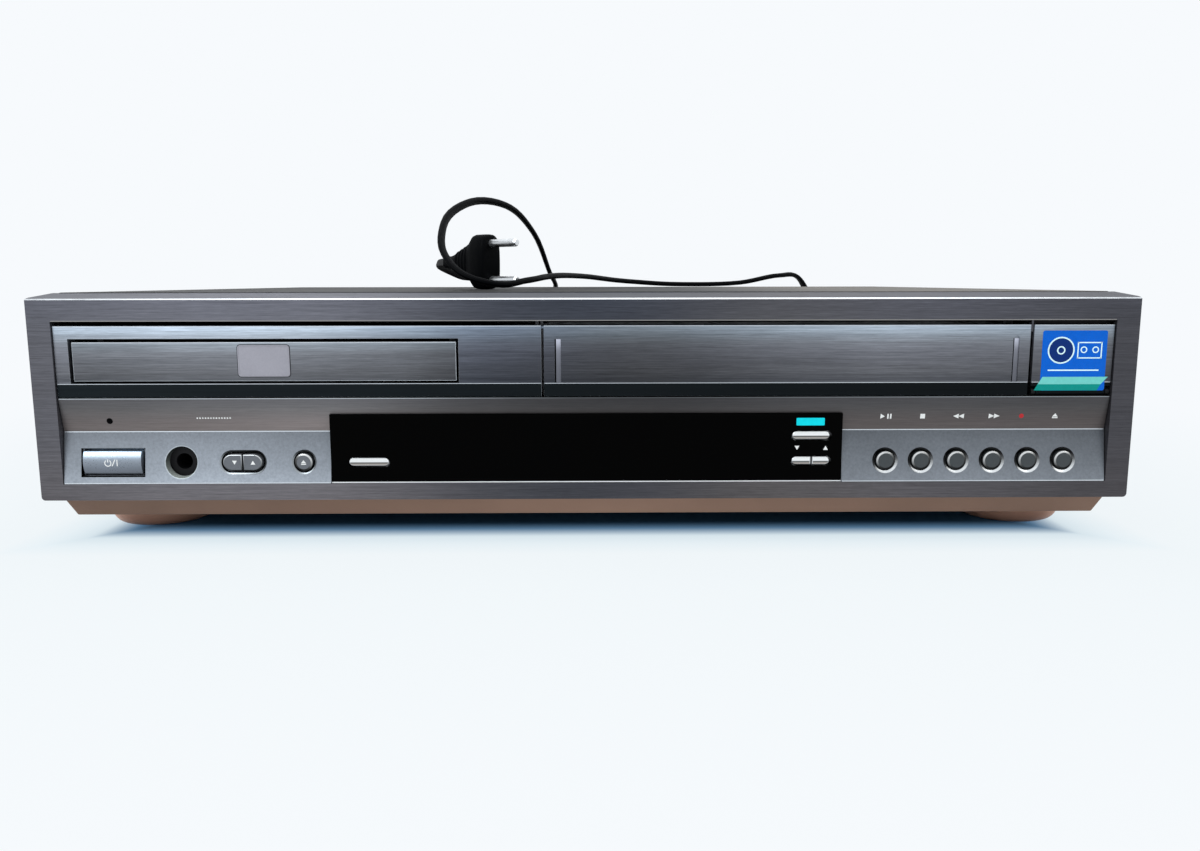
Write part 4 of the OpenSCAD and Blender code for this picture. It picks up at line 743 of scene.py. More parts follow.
def down_mark(cx, cz, w, h):
    return [[(x, 2 * cz - z) for x, z in reversed(up_mark(cx, cz, w, h)[0])]]


def bar_mark(cx, cz, w, h):
    return [[(cx - w / 2, cz - h / 2), (cx + w / 2, cz - h / 2),
             (cx + w / 2, cz + h / 2), (cx - w / 2, cz + h / 2)]]


def eject_mark(cx, cz, s):
    return up_mark(cx, cz + 0.16 * s, s, 0.6 * s) + bar_mark(cx, cz - 0.34 * s, s, 0.2 * s)


def dot_mark(cx, cz, r):
    return [[p[:2] for p in disc_outline(cx, cz, r, 20)]]


def plate_mark(cx, cz, w, h, r, corner):
    return [[p[:2] for p in rounded_outline(cx, cz, w, h, r, corner)]]


def arc_mark(cx, cz, r, w, start, end, count=20):
    """A bent band between two angles, in quads."""
    def corner(i, radius):
        a = math.radians(start + (end - start) * i / count)
        return cx + radius * math.cos(a), cz + radius * math.sin(a)
    inner, outer = r - w / 2, r + w / 2
    return [[corner(i, inner), corner(i, outer), corner(i + 1, outer), corner(i + 1, inner)]
            for i in range(count)]


def power_mark(cx, cz, r):
    return arc_mark(cx, cz, r, 0.35, 125, 415) + bar_mark(cx, cz + 0.75 * r, 0.35, r)


def marks(name, outlines, surface, ink, body, lift=None):
    """Printed shapes on a surface, as one piece."""
    height = sizes().ink / MM if lift is None else lift

    def make(shape):
        for outline in outlines:
            fill(shape, outline, surface, height)
    return new_piece(name, make, ink, body, smooth=False)


# ---------- Stage ----------

CAMERA_AT = (1.52, -542.0, 103.2)
CAMERA_DOWN = 8.565
CAMERA_RIGHT = 0.565
CAMERA_ROLL = 0.08
CAMERA_LENS = 28.785
FLOOR_R = 60.0
FOOTPRINT = (206.0, -4.0, 159.0)  # half width, middle depth and half depth of the base's foot
LAMPS = [
    # name, place, aim, width and depth, watts, colour
    ("lamp_left", (-0.75, -0.95, 0.75), (-0.1, -0.1, 0.05), (0.7, 0.7), 8.0, (0.93, 0.97, 1.0)),
    ("lamp_right", (1.0, -0.8, 0.7), (0.1, -0.1, 0.05), (0.6, 0.6), 3.2, (1.0, 0.98, 0.95)),
    ("lamp_top", (0.0, 0.1, 1.5), (0.0, 0.0, 0.0), (1.6, 1.2), 12.5, (1.0, 1.0, 1.0)),
]


def make_camera():
    lens = bpy.data.cameras.new("camera")
    lens.sensor_width = 36
    lens.sensor_fit = "HORIZONTAL"
    lens.lens = CAMERA_LENS
    lens.clip_start = 0.01
    camera = bpy.data.objects.new("camera", lens)
    camera.matrix_world = (
        Matrix.Translation(Vector(CAMERA_AT) * MM)
        @ Matrix.Rotation(math.radians(-CAMERA_RIGHT), 4, "Z")
        @ Matrix.Rotation(math.radians(90 - CAMERA_DOWN), 4, "X")
        @ Matrix.Rotation(math.radians(-CAMERA_ROLL), 4, "Z"))
    bpy.context.scene.collection.objects.link(camera)
    bpy.context.scene.camera = camera


def make_lamps():
    for name, place, aim, (width, depth_y), watts, tint in LAMPS:
        lamp = bpy.data.lights.new(name, "AREA")
        lamp.shape = "RECTANGLE"
        lamp.size = width
        lamp.size_y = depth_y
        lamp.energy = watts
        lamp.color = tint
        stand = bpy.data.objects.new(name, lamp)
        stand.location = place
        stand.rotation_euler = (Vector(aim) - Vector(place)).to_track_quat("-Z", "Y").to_euler()
        bpy.context.scene.collection.objects.link(stand)


def seen_directly(tree):
    """1 for camera, glossy and transmission rays, 0 for light that falls on surfaces."""
    rays = add_node(tree, "ShaderNodeLightPath").outputs
    seen = rays["Is Camera Ray"]
    for kind in ("Is Glossy Ray", "Is Transmission Ray"):
        seen = maths(tree, "MAXIMUM", seen, rays[kind])
    return seen


def make_world():
    world = bpy.data.worlds.new("studio")
    bpy.context.scene.world = world
    world.use_nodes = True
    tree = world.node_tree
    tree.nodes.clear()
    sky = add_node(tree, "ShaderNodeBackground", {
        "Color": (0.95, 0.975, 1.0, 1.0), "Strength": 0.55})
    backdrop = add_node(tree, "ShaderNodeBackground", {
        "Color": rgba(colours().ground), "Strength": 1.0})
    choice = add_node(tree, "ShaderNodeMixShader", {
        "Fac": seen_directly(tree), 1: sky.outputs["Background"],
        2: backdrop.outputs["Background"]})
    add_node(tree, "ShaderNodeOutputWorld", {"Surface": choice.outputs["Shader"]})


def floor_finish():
    """Matt pale floor: keeps the shadow under the player, adds painted blue shade and fades into
    the backdrop.
    """
    near, far = colours().ground_near, colours().ground
    made, tree, inputs = new_finish("floor", near, 1.0, 0.0, 0.0)
    outside = distance_outside(tree, *FOOTPRINT)
    under = remap(tree, outside, 0.0, 1.0, -0.025, 0.01)
    # Painted shade: the matt colour turns blue under the player
    put(tree, inputs["Base Color"], blend(tree, under, rgba(srgb(84, 132, 172)), rgba(near)))
    where = remap(tree, outside, 0.0, 1.0, -0.027, 0.473)
    # Painted shadow: the glow goes dark blue at the footprint's edge and a touch darker near the
    # player
    tint = ramp(tree, where, [
        (0.0, srgb(8, 30, 56)), (0.024, srgb(96, 142, 180)), (0.048, srgb(224, 238, 245)),
        (0.1, near), (0.6, far), (1.0, far)])
    shadow_and_backdrop_glow = add_node(tree, "ShaderNodeEmission", {"Color": tint, "Strength": 1.0})
    share = ramp(tree, where, [(place, (level,) * 3) for place, level in (
        (0.0, 0.0), (0.024, 0.5), (0.048, 0.86), (0.1, 0.96), (1.0, 1.0))])
    choice = add_node(tree, "ShaderNodeMixShader", {
        "Fac": maths(tree, "MULTIPLY", share, seen_directly(tree)),
        1: tree.nodes["Principled BSDF"].outputs["BSDF"], 2: shadow_and_backdrop_glow.outputs["Emission"]})
    put(tree, tree.nodes["Material Output"].inputs["Surface"], choice.outputs["Shader"])
    return made


def distance_outside(tree, half_x, middle_y, half_y):
    """How far a floor point lies outside the player's footprint, in metres, negative below it."""
    parts = []
    for axis, middle, half in (("X", 0.0, half_x), ("Y", middle_y, half_y)):
        off = maths(tree, "SUBTRACT", along(tree, axis), middle * MM)
        parts.append(maths(tree, "SUBTRACT", maths(tree, "ABSOLUTE", off), half * MM))
    return maths(tree, "MAXIMUM", *parts)


def make_floor():
    mesh = bpy.data.meshes.new("floor")
    shape = bmesh.new()
    shape.faces.new([shape.verts.new((FLOOR_R * math.cos(a), FLOOR_R * math.sin(a), -0.00002))
                     for a in (math.tau * i / 48 for i in range(48))])
    shape.to_mesh(mesh)
    shape.free()
    mesh.materials.append(floor_finish())
    floor = bpy.data.objects.new("floor", mesh)
    bpy.context.scene.collection.objects.link(floor)


# ---------- Mains lead ----------

LEAD_W = 5.0
LEAD_T = 3.0
COIL_AT = (176.0, 225.0)
COIL_TURNS = 2.5
COIL_PITCH = 3.1
LEAD_EXIT = (151, 185, 26)
LEAD_START = [
    LEAD_EXIT, (151, 194, 24.4), (151, 202, 18), (151, 207.5, 9.6), (151, 215.5, 3.2),
    (151, 225, 1.6)]
LEAD_REST = [
    (201, 225, 9.4), (200, 207, 14), (193, 190, 33), (178, 177, 65), (164, 176, 92),
    (153, 167, 106), (137, 152, 107), (106, 134, 102), (62, 121, 101), (26, 89, 103),
    (-3, 28, 106), (-21, -34, 105.5), (-30, -62, 103.5), (-43, -78, 101.8), (-58, -79, 106),
    (-69, -69, 116), (-72, -50, 131), (-63, -14, 145), (-46, 30, 146), (-34, 76, 133),
    (-26, 130, 108), (-24, 155, 102.4), (-24, 173, 98), (-26, 180, 80), (-38, 178, 58),
    (-64, 178, 58), (-76, 180, 80), (-78, 173, 98), (-78, 155, 102.4), (-82, 80, 107),
    (-84, 10, 113), (-75.8, -17.9, 113)]
LEAD_STEPS = 6
FLAT_FROM, FLAT_TO = 4, 21  # points of LEAD_REST between which the lead lies flat
PLUG_FACE = (-49.0, -42.0, 113.0)
PLUG_TURN = -42.0
PLUG_SHAPE = [
    # place along the plug, half height, half thickness
    (0.0, 12.6, 5.4), (-0.5, 13.4, 6.2), (-1.4, 13.9, 6.7), (-4.0, 14.0, 6.8), (-8.6, 14.0, 6.7),
    (-10.2, 13.6, 6.4), (-11.6, 12.0, 6.1), (-14.5, 9.3, 5.7), (-19.0, 7.4, 5.2),
    (-24.0, 5.4, 4.5), (-28.0, 3.9, 3.6), (-30.0, 3.5, 3.1), (-36.0, 2.9, 2.4)]
PLUG_RIBS = (-14.6, -17.4, -20.2, -23.0)  # places along the plug


def smooth_line(points, steps):
    """A curve through the points, with headings weighted by the chords beside them."""
    knots = [Vector(p) for p in points]
    chords = [b - a for a, b in zip(knots, knots[1:])]

    def heading(i):
        before, after = chords[max(i - 1, 0)], chords[min(i, len(chords) - 1)]
        u, v = before.length, after.length
        return (before * (v / u) + after * (u / v)).normalized()

    line = []
    for i, chord in enumerate(chords):
        a, b = heading(i) * chord.length, heading(i + 1) * chord.length
        for t in (k / steps for k in range(steps)):
            line.append((2 * t**3 - 3 * t * t + 1) * knots[i] + (t**3 - 2 * t * t + t) * a
                        + (3 * t * t - 2 * t**3) * knots[i + 1] + (t**3 - t * t) * b)
    return line + [knots[-1]]


def coil_line():
    """The wound turns: clockwise from above, rising by the lead's thickness each turn."""
    radius = sizes().coil_radius / MM
    count = int(sizes().coil_points * COIL_TURNS)
    line = []
    for turned in (COIL_TURNS * i / count for i in range(count + 1)):
        a = math.pi - math.tau * turned
        line.append(Vector((COIL_AT[0] + radius * math.cos(a), COIL_AT[1] + radius * math.sin(a),
                            LEAD_START[-1][2] + COIL_PITCH * turned)))
    return line


def ways(line):
    """The direction of a line at each of its points."""
    last = len(line) - 1
    return [(line[min(i + 1, last)] - line[max(i - 1, 0)]).normalized() for i in range(last + 1)]


def carried_axes(line, first, flat=()):
    """Side and up directions at each point, carried along from the first side without twist.

    At the points in flat the lead turns its thin side to the front.
    """
    axes = []
    side = Vector(first)
    for i, way in enumerate(ways(line)):
        up = way.cross((side - side.dot(way) * way).normalized())
        if i in flat:
            thin = Vector((-way.z, 0, way.x)).normalized()
            up = (up * 0.7 + thin * (0.3 if up.dot(thin) > 0 else -0.3)).normalized()
        side = up.cross(way).normalized()
        axes.append((side, up))
    return axes


def coil_axes(line):
    """Side and up directions of the coil, with the side towards the coil's middle."""
    axes = []
    for point, way in zip(line, ways(line)):
        inward = Vector((COIL_AT[0] - point.x, COIL_AT[1] - point.y, 0))
        side = (inward - inward.dot(way) * way).normalized()
        axes.append((side, way.cross(side)))
    return axes


def lead_section():
    """Outline of the flat lead: two half rounds, as (sideways, up)."""
    r = LEAD_T / 2
    half = LEAD_W / 2 - r
    return [(middle + r * math.cos(a), r * math.sin(a))
            for middle, start in ((half, -90), (-half, 90))
            for a in (math.radians(start + 36 * i) for i in range(6))]


def make_lead():
    start = smooth_line(LEAD_START, LEAD_STEPS)
    coil = coil_line()
    rest = smooth_line(LEAD_REST, LEAD_STEPS)
    line = start + coil[1:] + rest[1:]
    flat = range(FLAT_FROM * LEAD_STEPS + 1, FLAT_TO * LEAD_STEPS)
    axes = (carried_axes(start, (1, 0, 0)) + coil_axes(coil)[1:]
            + carried_axes(rest, (-1, 0, 0), flat)[1:])
    sections = [[p + side * u + up * v for u, v in lead_section()]
                for p, (side, up) in zip(line, axes)]
    lead = new_piece(
        "lead", lambda shape: loft(shape, sections), "lead_plastic", "cabinet")
    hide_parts("mains_cord", "mains_coil")
    length = sum((b - a).length for a, b in zip(line, line[1:])) * MM
    return lead, [tuple(p * MM) for p in line], length


def make_plug():
    place = Matrix.Translation(Vector(PLUG_FACE)) @ Matrix.Rotation(math.radians(PLUG_TURN), 4, "Z")

    def section(x, half_h, half_t, power):
        """A rounded outline across the plug: a superellipse."""
        def bulged(v):
            return math.copysign(abs(v) ** (2 / power), v)
        return [place @ Vector((x, bulged(math.sin(a)) * half_t, bulged(math.cos(a)) * half_h))
                for a in (math.tau * i / 32 for i in range(32))]

    def make(shape):
        loft(shape, [section(*row, 3.2 if row[0] > -12 else 2.6) for row in PLUG_SHAPE])
        for x in PLUG_RIBS:
            half_h = 9.3 + (x + 14.5) * 0.42
            half_t = 5.75 + (x + 14.5) * 0.12
            loft(shape, [section(x + shift, half_h + grow, half_t + grow, 2.6) for shift, grow in (
                (-0.7, -0.5), (-0.35, 0.28), (0.35, 0.28), (0.7, -0.5))])
    plug = new_piece("plug_body", make, "lead_plastic", "cabinet")
    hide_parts("mains_plug")
    return plug


# ---------- Operators ----------


class PLAYER_OT_stage(bpy.types.Operator):
    """Make the camera, lamps, backdrop and floor"""

    bl_idname = "player.stage"
    bl_label = "Stage"

    def execute(self, context):
        make_camera()
        make_lamps()
        make_world()
        make_floor()
        return {"FINISHED"}


class PLAYER_OT_mains_lead(bpy.types.Operator):
    """Lay the mains lead with its coil, plug and pins"""

    bl_idname = "player.mains_lead"
    bl_label = "Mains lead"

    def execute(self, context):
        lead, path, length = make_lead()
        plug = make_plug()
        dress("cord_grommet", "plug_pins")
        return {"FINISHED"}


class PLAYER_OT_front_frame(bpy.types.Operator):
    """Dress the brushed front frame, the painted highlight on its top edge and the painted shade in
    its opening
    """

    bl_idname = "player.front_frame"
    bl_label = "Front frame"

    def execute(self, context):
        face_y = FRONT_Y + 0.03
        shell = softened("front_frame", sizes().edge, dark=self.inside,
                         reshape=lambda x, y, z: (x, max(y, face_y), z))
        # Faces looking up and to the front take a painted highlight
        shell.data.materials[2] = finish("frame_edge")
        for face in shell.data.polygons:
            if face.normal.z > 0.4 and face.normal.y < -0.4:
                face.material_index = 2
        # A painted highlight line along the opening's top edge
        marks("frame_inner_line", bar_mark(0, OPEN_Z1 + 0.2, 2 * OPEN_X, 0.3), face_y,
              "edge_soft", "cabinet", 0.02)
        return {"FINISHED"}

    def inside(self, place, normal):
        """Whether a face is a wall of the frame's opening, which is painted black as shade."""
        return upright(normal) and abs(place.x) < OPEN_X + 1 and BASE_Z1 < place.z < BAND_Z1 + 4


class PLAYER_OT_upper_panels(bpy.types.Operator):
    """Dress the disc panel, tray front, cassette flap and socket door"""

    bl_idname = "player.upper_panels"
    bl_label = "Upper panels"

    def execute(self, context):
        for node in ("disc_panel", "tray_front", "cassette_flap", "socket_door"):
            # Side walls are painted black as shade; groove walls and softened edges take a painted
            # highlight
            softened(node, sizes().edge, dark=self.side_walls,
                     bright=None if node == "socket_door" else self.groove_walls,
                     reshape=self.drawn_in if node == "tray_front" else None)
            self.top_line(node)
        self.groove_floors()
        return {"FINISHED"}

    def top_line(self, node):
        """Painted highlight lines along a panel's upper edge and above its stripe."""
        x0, x1 = (FLAP_X0, FLAP_X1) if node == "cassette_flap" else span(node, 0)
        tray = node == "tray_front"
        if tray:
            x0 += TRAY_GAP
        x, width = (x0 + x1) / 2, x1 - x0 - 0.3
        line = bar_mark(x, span(node, 2)[1] - (0.5 if tray else 0.2), width, 0.24)
        if not tray:
            line += bar_mark(x, STRIPE_Z1 + 0.15, width, 0.2)
        marks(node + "_edge", line, BAND_Y, "edge_light", BODY_OF[node], 0.02)

    def drawn_in(self, x, y, z):
        """The tray front a little smaller on its left and top, for the dark gap there."""
        return (x + TRAY_GAP if x < TRAY_X0 + 0.1 else x, y, z - 0.3 if z > TRAY_Z1 - 0.1 else z)

    def groove_floors(self):
        """Plates with painted light on the floors of the flap's grip grooves, and a painted shade
        line along each.
        """
        floors, lines = [], []
        for left in (FLAP_X0 + GROOVE_INSET, FLAP_X1 - GROOVE_INSET - GROOVE_W):
            floors += bar_mark(left + 1.48, GROOVE_Z + 0.1, 1.8, GROOVE_H - 0.2)
            lines += bar_mark(left + 0.3, GROOVE_Z, 0.5, GROOVE_H)
        for name, outlines, ink, lift in (("groove_floors", floors, "groove_floor", 0.04),
                                          ("groove_lines", lines, "gap_black", 0.06)):
            marks(name, outlines, BAND_Y + GROOVE_DEEP, ink, BODY_OF["cassette_flap"],
                  lift)

    def side_walls(self, place, normal):
        """Whether a face is a side wall, a wall round the tray, or behind the panel's face: painted
        black as shade.
        """
        if place.y > BAND_Y + BAND_T + 0.2:
            return True
        if not upright(normal):
            return False
        if place.y < BAND_Y + GROOVE_DEEP + 0.1:
            return normal.x > LOOKS or normal.z > LOOKS
        in_opening = TRAY_X0 - 3 < place.x < TRAY_X1 + 3 and BAND_Z0 + 2 < place.z < BAND_Z1 - 2
        return abs(normal.x) > 0.7 or in_opening

    def groove_walls(self, place, normal):
        """Whether a face is a wall of the grip grooves that takes a painted highlight."""
        sunk = place.y < BAND_Y + GROOVE_DEEP + 0.1 and upright(normal)
        return sunk and (normal.x < -LOOKS or normal.z < -LOOKS)


class PLAYER_OT_lower_panels(bpy.types.Operator):
    """Dress the label strip and the control panel with painted highlight lines along their edges"""

    bl_idname = "player.lower_panels"
    bl_label = "Lower panels"

    def execute(self, context):
        dress("label_strip", "control_panel")
        reach = OPEN_X - 0.2
        gap = WINDOW_X + 0.35
        lines = []
        for x0, x1 in ((-reach, -gap), (gap, reach)):
            for z, height in ((PANEL_Z1 - 0.14, 0.36), (PANEL_Z0 + 0.18, 0.36)):
                lines += bar_mark((x0 + x1) / 2, z, x1 - x0, height)
        fold = bar_mark(0, STRIP_Z1 - 0.2, 2 * reach, 0.26)
        foot = bar_mark(0, PANEL_Z1 + 0.2, 2 * WINDOW_X, 0.26)
        sill = bar_mark(0, PANEL_Z0 + 0.2, 2 * WINDOW_X, 0.4)
        # Painted highlight lines on the panels' edges, the fold, the strip's foot and the window's
        # sill
        for name, outlines, surface, ink, slot, lift in (
                ("panel_edge_lines", lines, panel_surface, "edge_light", "panel_metal", 0.04),
                ("strip_edge_line", fold, strip_surface, "edge_strip", "frame_metal", 0.03),
                ("strip_foot_line", foot, strip_surface, "edge_soft", "frame_metal", 0.03),
                ("window_sill_line", sill, WINDOW_Y, "edge_bright", "panel_metal", 0.03),
                ("standby_lens", dot_mark(*LAMP_AT, 1.2), strip_surface, "gap_black",
                 "window_black", 0.06)):
            marks(name, outlines, surface, ink, "cabinet", lift)
        return {"FINISHED"}


class PLAYER_OT_window(bpy.types.Operator):
    """Dress the smoked display window"""

    bl_idname = "player.window"
    bl_label = "Display window"

    def execute(self, context):
        softened("display_window", 0.2 * MM)
        return {"FINISHED"}


def face_of(node):
    """Middle and size of a key's face: x, z, width, height."""
    return pair_face(node, node)


def pair_face(left, right):
    """Middle and size of the face that two half keys make."""
    x0 = span(left, 0)[0] + KEY_FLANGE
    x1 = span(right, 0)[1] - KEY_FLANGE
    z0, z1 = span(left, 2)
    return (x0 + x1) / 2, (z0 + z1) / 2, x1 - x0, z1 - z0 - 2 * KEY_FLANGE


class PLAYER_OT_keys(bpy.types.Operator):
    """Dress every key, each on its own body"""

    bl_idname = "player.keys"
    bl_label = "Keys"

    def execute(self, context):
        for node in PRESS_KEYS:
            bar = FINISH_OF[node] == "key_chrome"
            plain = bar or node == "power_button"
            shell = softened(
                node, sizes().key_edge * (1.0 if plain else 1.9),
                segments=3,
                # Faces deep in the hole and the key's side walls are painted black as shade
                dark=lambda place, normal, front=span(node, 1)[0]: place.y > front + 0.9 or (
                    upright(normal) and place.y > front + 0.4),
                bright=None if plain else lambda place, normal: False,
                reshape=(self.trimmed if bar else self.slimmer)(node))
            # The softened edges of these keys take the key bevel's painted light
            if not plain:
                shell.data.materials[2] = finish("key_bevel")
        for node in DISC_KEYS:
            self.bevel(node)
        for node in PRESS_KEYS:
            if FINISH_OF[node] == "key_chrome":
                self.shine(node)
        return {"FINISHED"}

    def bar_face(self, node):
        """Left, right, foot and top of a bar key's face, and how much its right is drawn in."""
        x0, x1 = span(node, 0)
        z0, z1 = span(node, 2)
        x0 += 0.2 if node == "prog_up_button" else KEY_FLANGE
        x1 -= 0.2 if node == "prog_down_button" else KEY_FLANGE
        trim = BAR_TRIM_X if node in ("copy_button", "prog_up_button") else 0.0
        return x0, x1, z0 + KEY_FLANGE, z1 - KEY_FLANGE, trim

    def trimmed(self, node):
        """Draws a bar key in from the right and from below, which leaves a dark gap there."""
        x0, x1, z0, z1, trim = self.bar_face(node)
        slim = 1 - trim / (x1 - x0)
        low = 1 - BAR_TRIM_Z / (z1 - z0)

        def move(px, py, pz):
            if x0 - 0.3 < px < x1 + 0.3 and z0 - 0.1 < pz < z1 + 0.1:
                return x0 + (px - x0) * slim, py, z1 + (pz - z1) * low
            return px, py, pz
        return move

    def shine(self, node):
        """Painted reflection on a bar key's face: bright above, with a dark line and a warm foot
        below.
        """
        x0, x1, z0, z1, trim = self.bar_face(node)
        w, h = x1 - trim - x0, z1 - z0 - BAR_TRIM_Z
        left = 0.2 if node == "prog_up_button" else h / 2 - 0.15
        right = 0.2 if node == "prog_down_button" else h / 2 - 0.15

        def make(shape):
            points = []
            for sx, sz, start, r in (
                    (1, 1, 0, right), (-1, 1, 90, left), (-1, -1, 180, left), (1, -1, 270, right)):
                for a in (math.radians(start + 90 * i / 8) for i in range(9)):
                    points.append((sx * (w / 2 - 0.2 - r) + r * math.cos(a),
                                   sz * (h / 2 - 0.15 - r) + r * math.sin(a)))
            fill(shape, points, 0.0, 0.03, 0.05)
        new_piece(node.replace("_button", "_shine"), make, "bar_shine", BODY_OF[node],
                  smooth=False, at=(x0 + w / 2, span(node, 1)[0], z1 - h / 2))

    def bevel(self, node):
        """The bright bevel round a key's face, with painted light from the key's own middle."""
        x, z, w, _ = face_of(node)
        profile = [(-0.1, 0.0), (0.0, 0.0), (0.66, 0.28), (0.66, 1.1), (0.0, 1.1)]
        new_piece(
            node.replace("_button", "_bevel"),
            lambda shape: ring(shape, disc_outline(0, 0, w / 2 - 1.0, 40), profile, 0.0),
            "bevel_right" if node in ROUND_KEYS else "bevel_left", BODY_OF[node],
            at=(x, span(node, 1)[0], z))

    def slimmer(self, node):
        """Draws the part of the key in front of its flange in, which leaves a dark gap round it."""
        x, z, w, h = pair_face(*LEVEL_KEYS) if node in LEVEL_KEYS else face_of(node)
        slim_x = 1 - 2 * (0.15 if node == "power_button" else KEY_GAP) / w
        slim_z = 1 - 2 * KEY_GAP / h

        def move(px, py, pz):
            if abs(px - x) < w / 2 + 0.1 and abs(pz - z) < h / 2 + 0.1:
                return x + (px - x) * slim_x, py, z + (pz - z) * slim_z
            return px, py, pz
        return move


class PLAYER_OT_key_rims(bpy.types.Operator):
    """Fit the bright chamfers with painted light and the black throats with painted shade in the
    keys' holes
    """

    bl_idname = "player.key_rims"
    bl_label = "Key rims"

    def execute(self, context):
        rim = sizes().rim / MM
        throat = [(-0.04, 0.75), (-rim, 0.72), (-rim, 1.0), (-0.4, 2.2), (-0.04, 2.2)]
        for node in DISC_KEYS:
            x, z, w, _ = face_of(node)
            self.rim(node, disc_outline(0, 0, w / 2 + KEY_RING, 48), x, z,
                     rim if node in ROUND_KEYS else 0.65 * rim)
        x, z, w, h = pair_face(*LEVEL_KEYS)
        self.rim("level_button", self.level_hole(0, 0, w, h), x, z, 0.6 * rim)

        def throats(shape):
            for outline in self.holes():
                ring(shape, outline, throat, panel_surface)

        def power_throat(shape):
            x, z, w, h = face_of("power_button")
            profile = [(0.02, 0.3), (0.02, 0.0), (-0.16, 0.02), (-0.16, 2.2), (0.02, 2.2)]
            ring(shape, rounded_outline(x, z, w + 2 * KEY_RING, h + 1.2, 0.5, 4), profile,
                 panel_surface)
        new_piece("key_throats", throats, "gap_black", "cabinet")
        new_piece("power_throat", power_throat, "gap_black", "cabinet")
        return {"FINISHED"}

    def rim(self, node, outline, x, z, wide):
        """The bright chamfer of one hole, with painted light from the hole's own middle."""
        profile = [(0.06, 0.3), (0.06, -0.05), (-0.04, -0.05),
                   (-wide, 0.3 * wide / (sizes().rim / MM)), (-wide, 0.7), (0.0, 0.8)]
        deep = panel_surface(z)
        new_piece(
            node.replace("_button", "_rim"),
            lambda shape: ring(shape, outline, profile, lambda pz: panel_surface(z + pz) - deep),
            "rim_right" if node in ROUND_KEYS else "rim_left", "cabinet",
            at=(x, deep, z))

    def level_hole(self, x, z, w, h):
        return rounded_outline(x, z, w + 2 * KEY_RING, h + 2 * KEY_RING, h / 2 + KEY_RING, 10)

    def holes(self):
        for node in DISC_KEYS:
            x, z, w, _ = face_of(node)
            yield disc_outline(x, z, w / 2 + KEY_RING, 48)
        yield self.level_hole(*pair_face(*LEVEL_KEYS))


class PLAYER_OT_headphone_socket(bpy.types.Operator):
    """Dress the headphone socket, its bright rim and its throat with painted light"""

    bl_idname = "player.headphone_socket"
    bl_label = "Headphone socket"

    def execute(self, context):
        dress("phones_jack")
        x, z = sum(span("phones_jack", 0)) / 2, face_of("power_button")[1]
        nose = FRONT_Y + PHONES_NOSE - panel_surface(z) - 0.15
        for name, look, slot, profile in (
                ("phones_rim", "rim_soft", "key_chrome",
                 [(0.02, 0.4), (0.02, -0.06), (0.3, -0.08), (0.34, 0.04), (0.34, 0.4)]),
                ("phones_throat", "throat_satin", "panel_metal",
                 [(-0.02, 0.0), (-0.12, 0.05), (-0.5, nose), (-0.02, nose)])):
            new_piece(
                name,
                lambda shape: ring(shape, disc_outline(x, z, PHONES_R, 56), profile, panel_surface),
                look, "cabinet")
        return {"FINISHED"}


class PLAYER_OT_symbols(bpy.types.Operator):
    """Print the plain transport symbols"""

    bl_idname = "player.symbols"
    bl_label = "Symbols"

    def execute(self, context):
        size = sizes().mark / MM
        row = 50.2
        x = {node: face_of(node)[0] for node in PRESS_KEYS}
        white = play_mark(x["play_button"] - 1.4, row, size)
        for shift in (0.7, 1.8):
            white += bar_mark(x["play_button"] + shift, row, 0.6, size)
        white += bar_mark(x["stop_button"] + 0.3, row, 0.95 * size, 0.95 * size)
        for shift in (-1.05, 1.05):
            white += back_mark(x["rewind_button"] + 0.4 + shift, row, 0.95 * size, 2.2)
            white += play_mark(x["forward_button"] + 0.4 + shift, row, 0.95 * size, 2.2)
        white += eject_mark(x["eject_button"] - 3.7, row, 1.1 * size)
        for i in range(DOTS):
            white += dot_mark(DOTS_X + i * DOTS_PITCH, row, 0.3)
        red = dot_mark(x["record_button"] - 2.9, row, 0.46 * size)
        marks("strip_symbols", white, strip_surface, "ink_white", "cabinet")
        marks("record_symbol", red, strip_surface, "ink_red", "cabinet")
        self.key_symbols()
        self.window_symbols()
        return {"FINISHED"}

    def key_symbols(self):
        """Symbols on the keys themselves, each riding on its key."""
        middle, row = pair_face(*LEVEL_KEYS)[:2]
        x, z = face_of("power_button")[:2]
        standby = power_mark(x - 1.6, z, 1.2) + bar_mark(x + 2.0, z + 0.1, 0.35, 2.6)
        standby.append([(x - 0.2, z - 1.2), (x + 0.2, z - 1.2), (x + 1.4, z + 1.4),
                        (x + 1.0, z + 1.4)])
        for node, outlines in (
                ("level_down_button", down_mark(middle - 3.1, row, 1.9, 1.6)),
                ("level_up_button", up_mark(middle + 4.1, row, 1.9, 1.6)),
                ("open_button", eject_mark(*face_of("open_button")[:2], 2.0)),
                ("power_button", standby)):
            marks(node.replace("_button", "_symbol"), outlines, span(node, 1)[0], "ink_white",
                  BODY_OF[node], 0.03)

    def window_symbols(self):
        left, row = face_of("prog_down_button")[:2]
        right = face_of("prog_up_button")[0]
        arrows = down_mark(left - 1.15, row + 5.2, 1.9, 1.65)
        arrows += up_mark(right + 1.05, row + 5.2, 1.9, 1.65)
        x, z = face_of("copy_button")[:2]
        label = plate_mark(x - 0.6, z + 5.55, 11.1, 3.0, 0.3, 2)
        marks("window_symbols", arrows, WINDOW_Y, "ink_white", "cabinet")
        marks("copy_label", label, WINDOW_Y, "label_cyan", "cabinet")


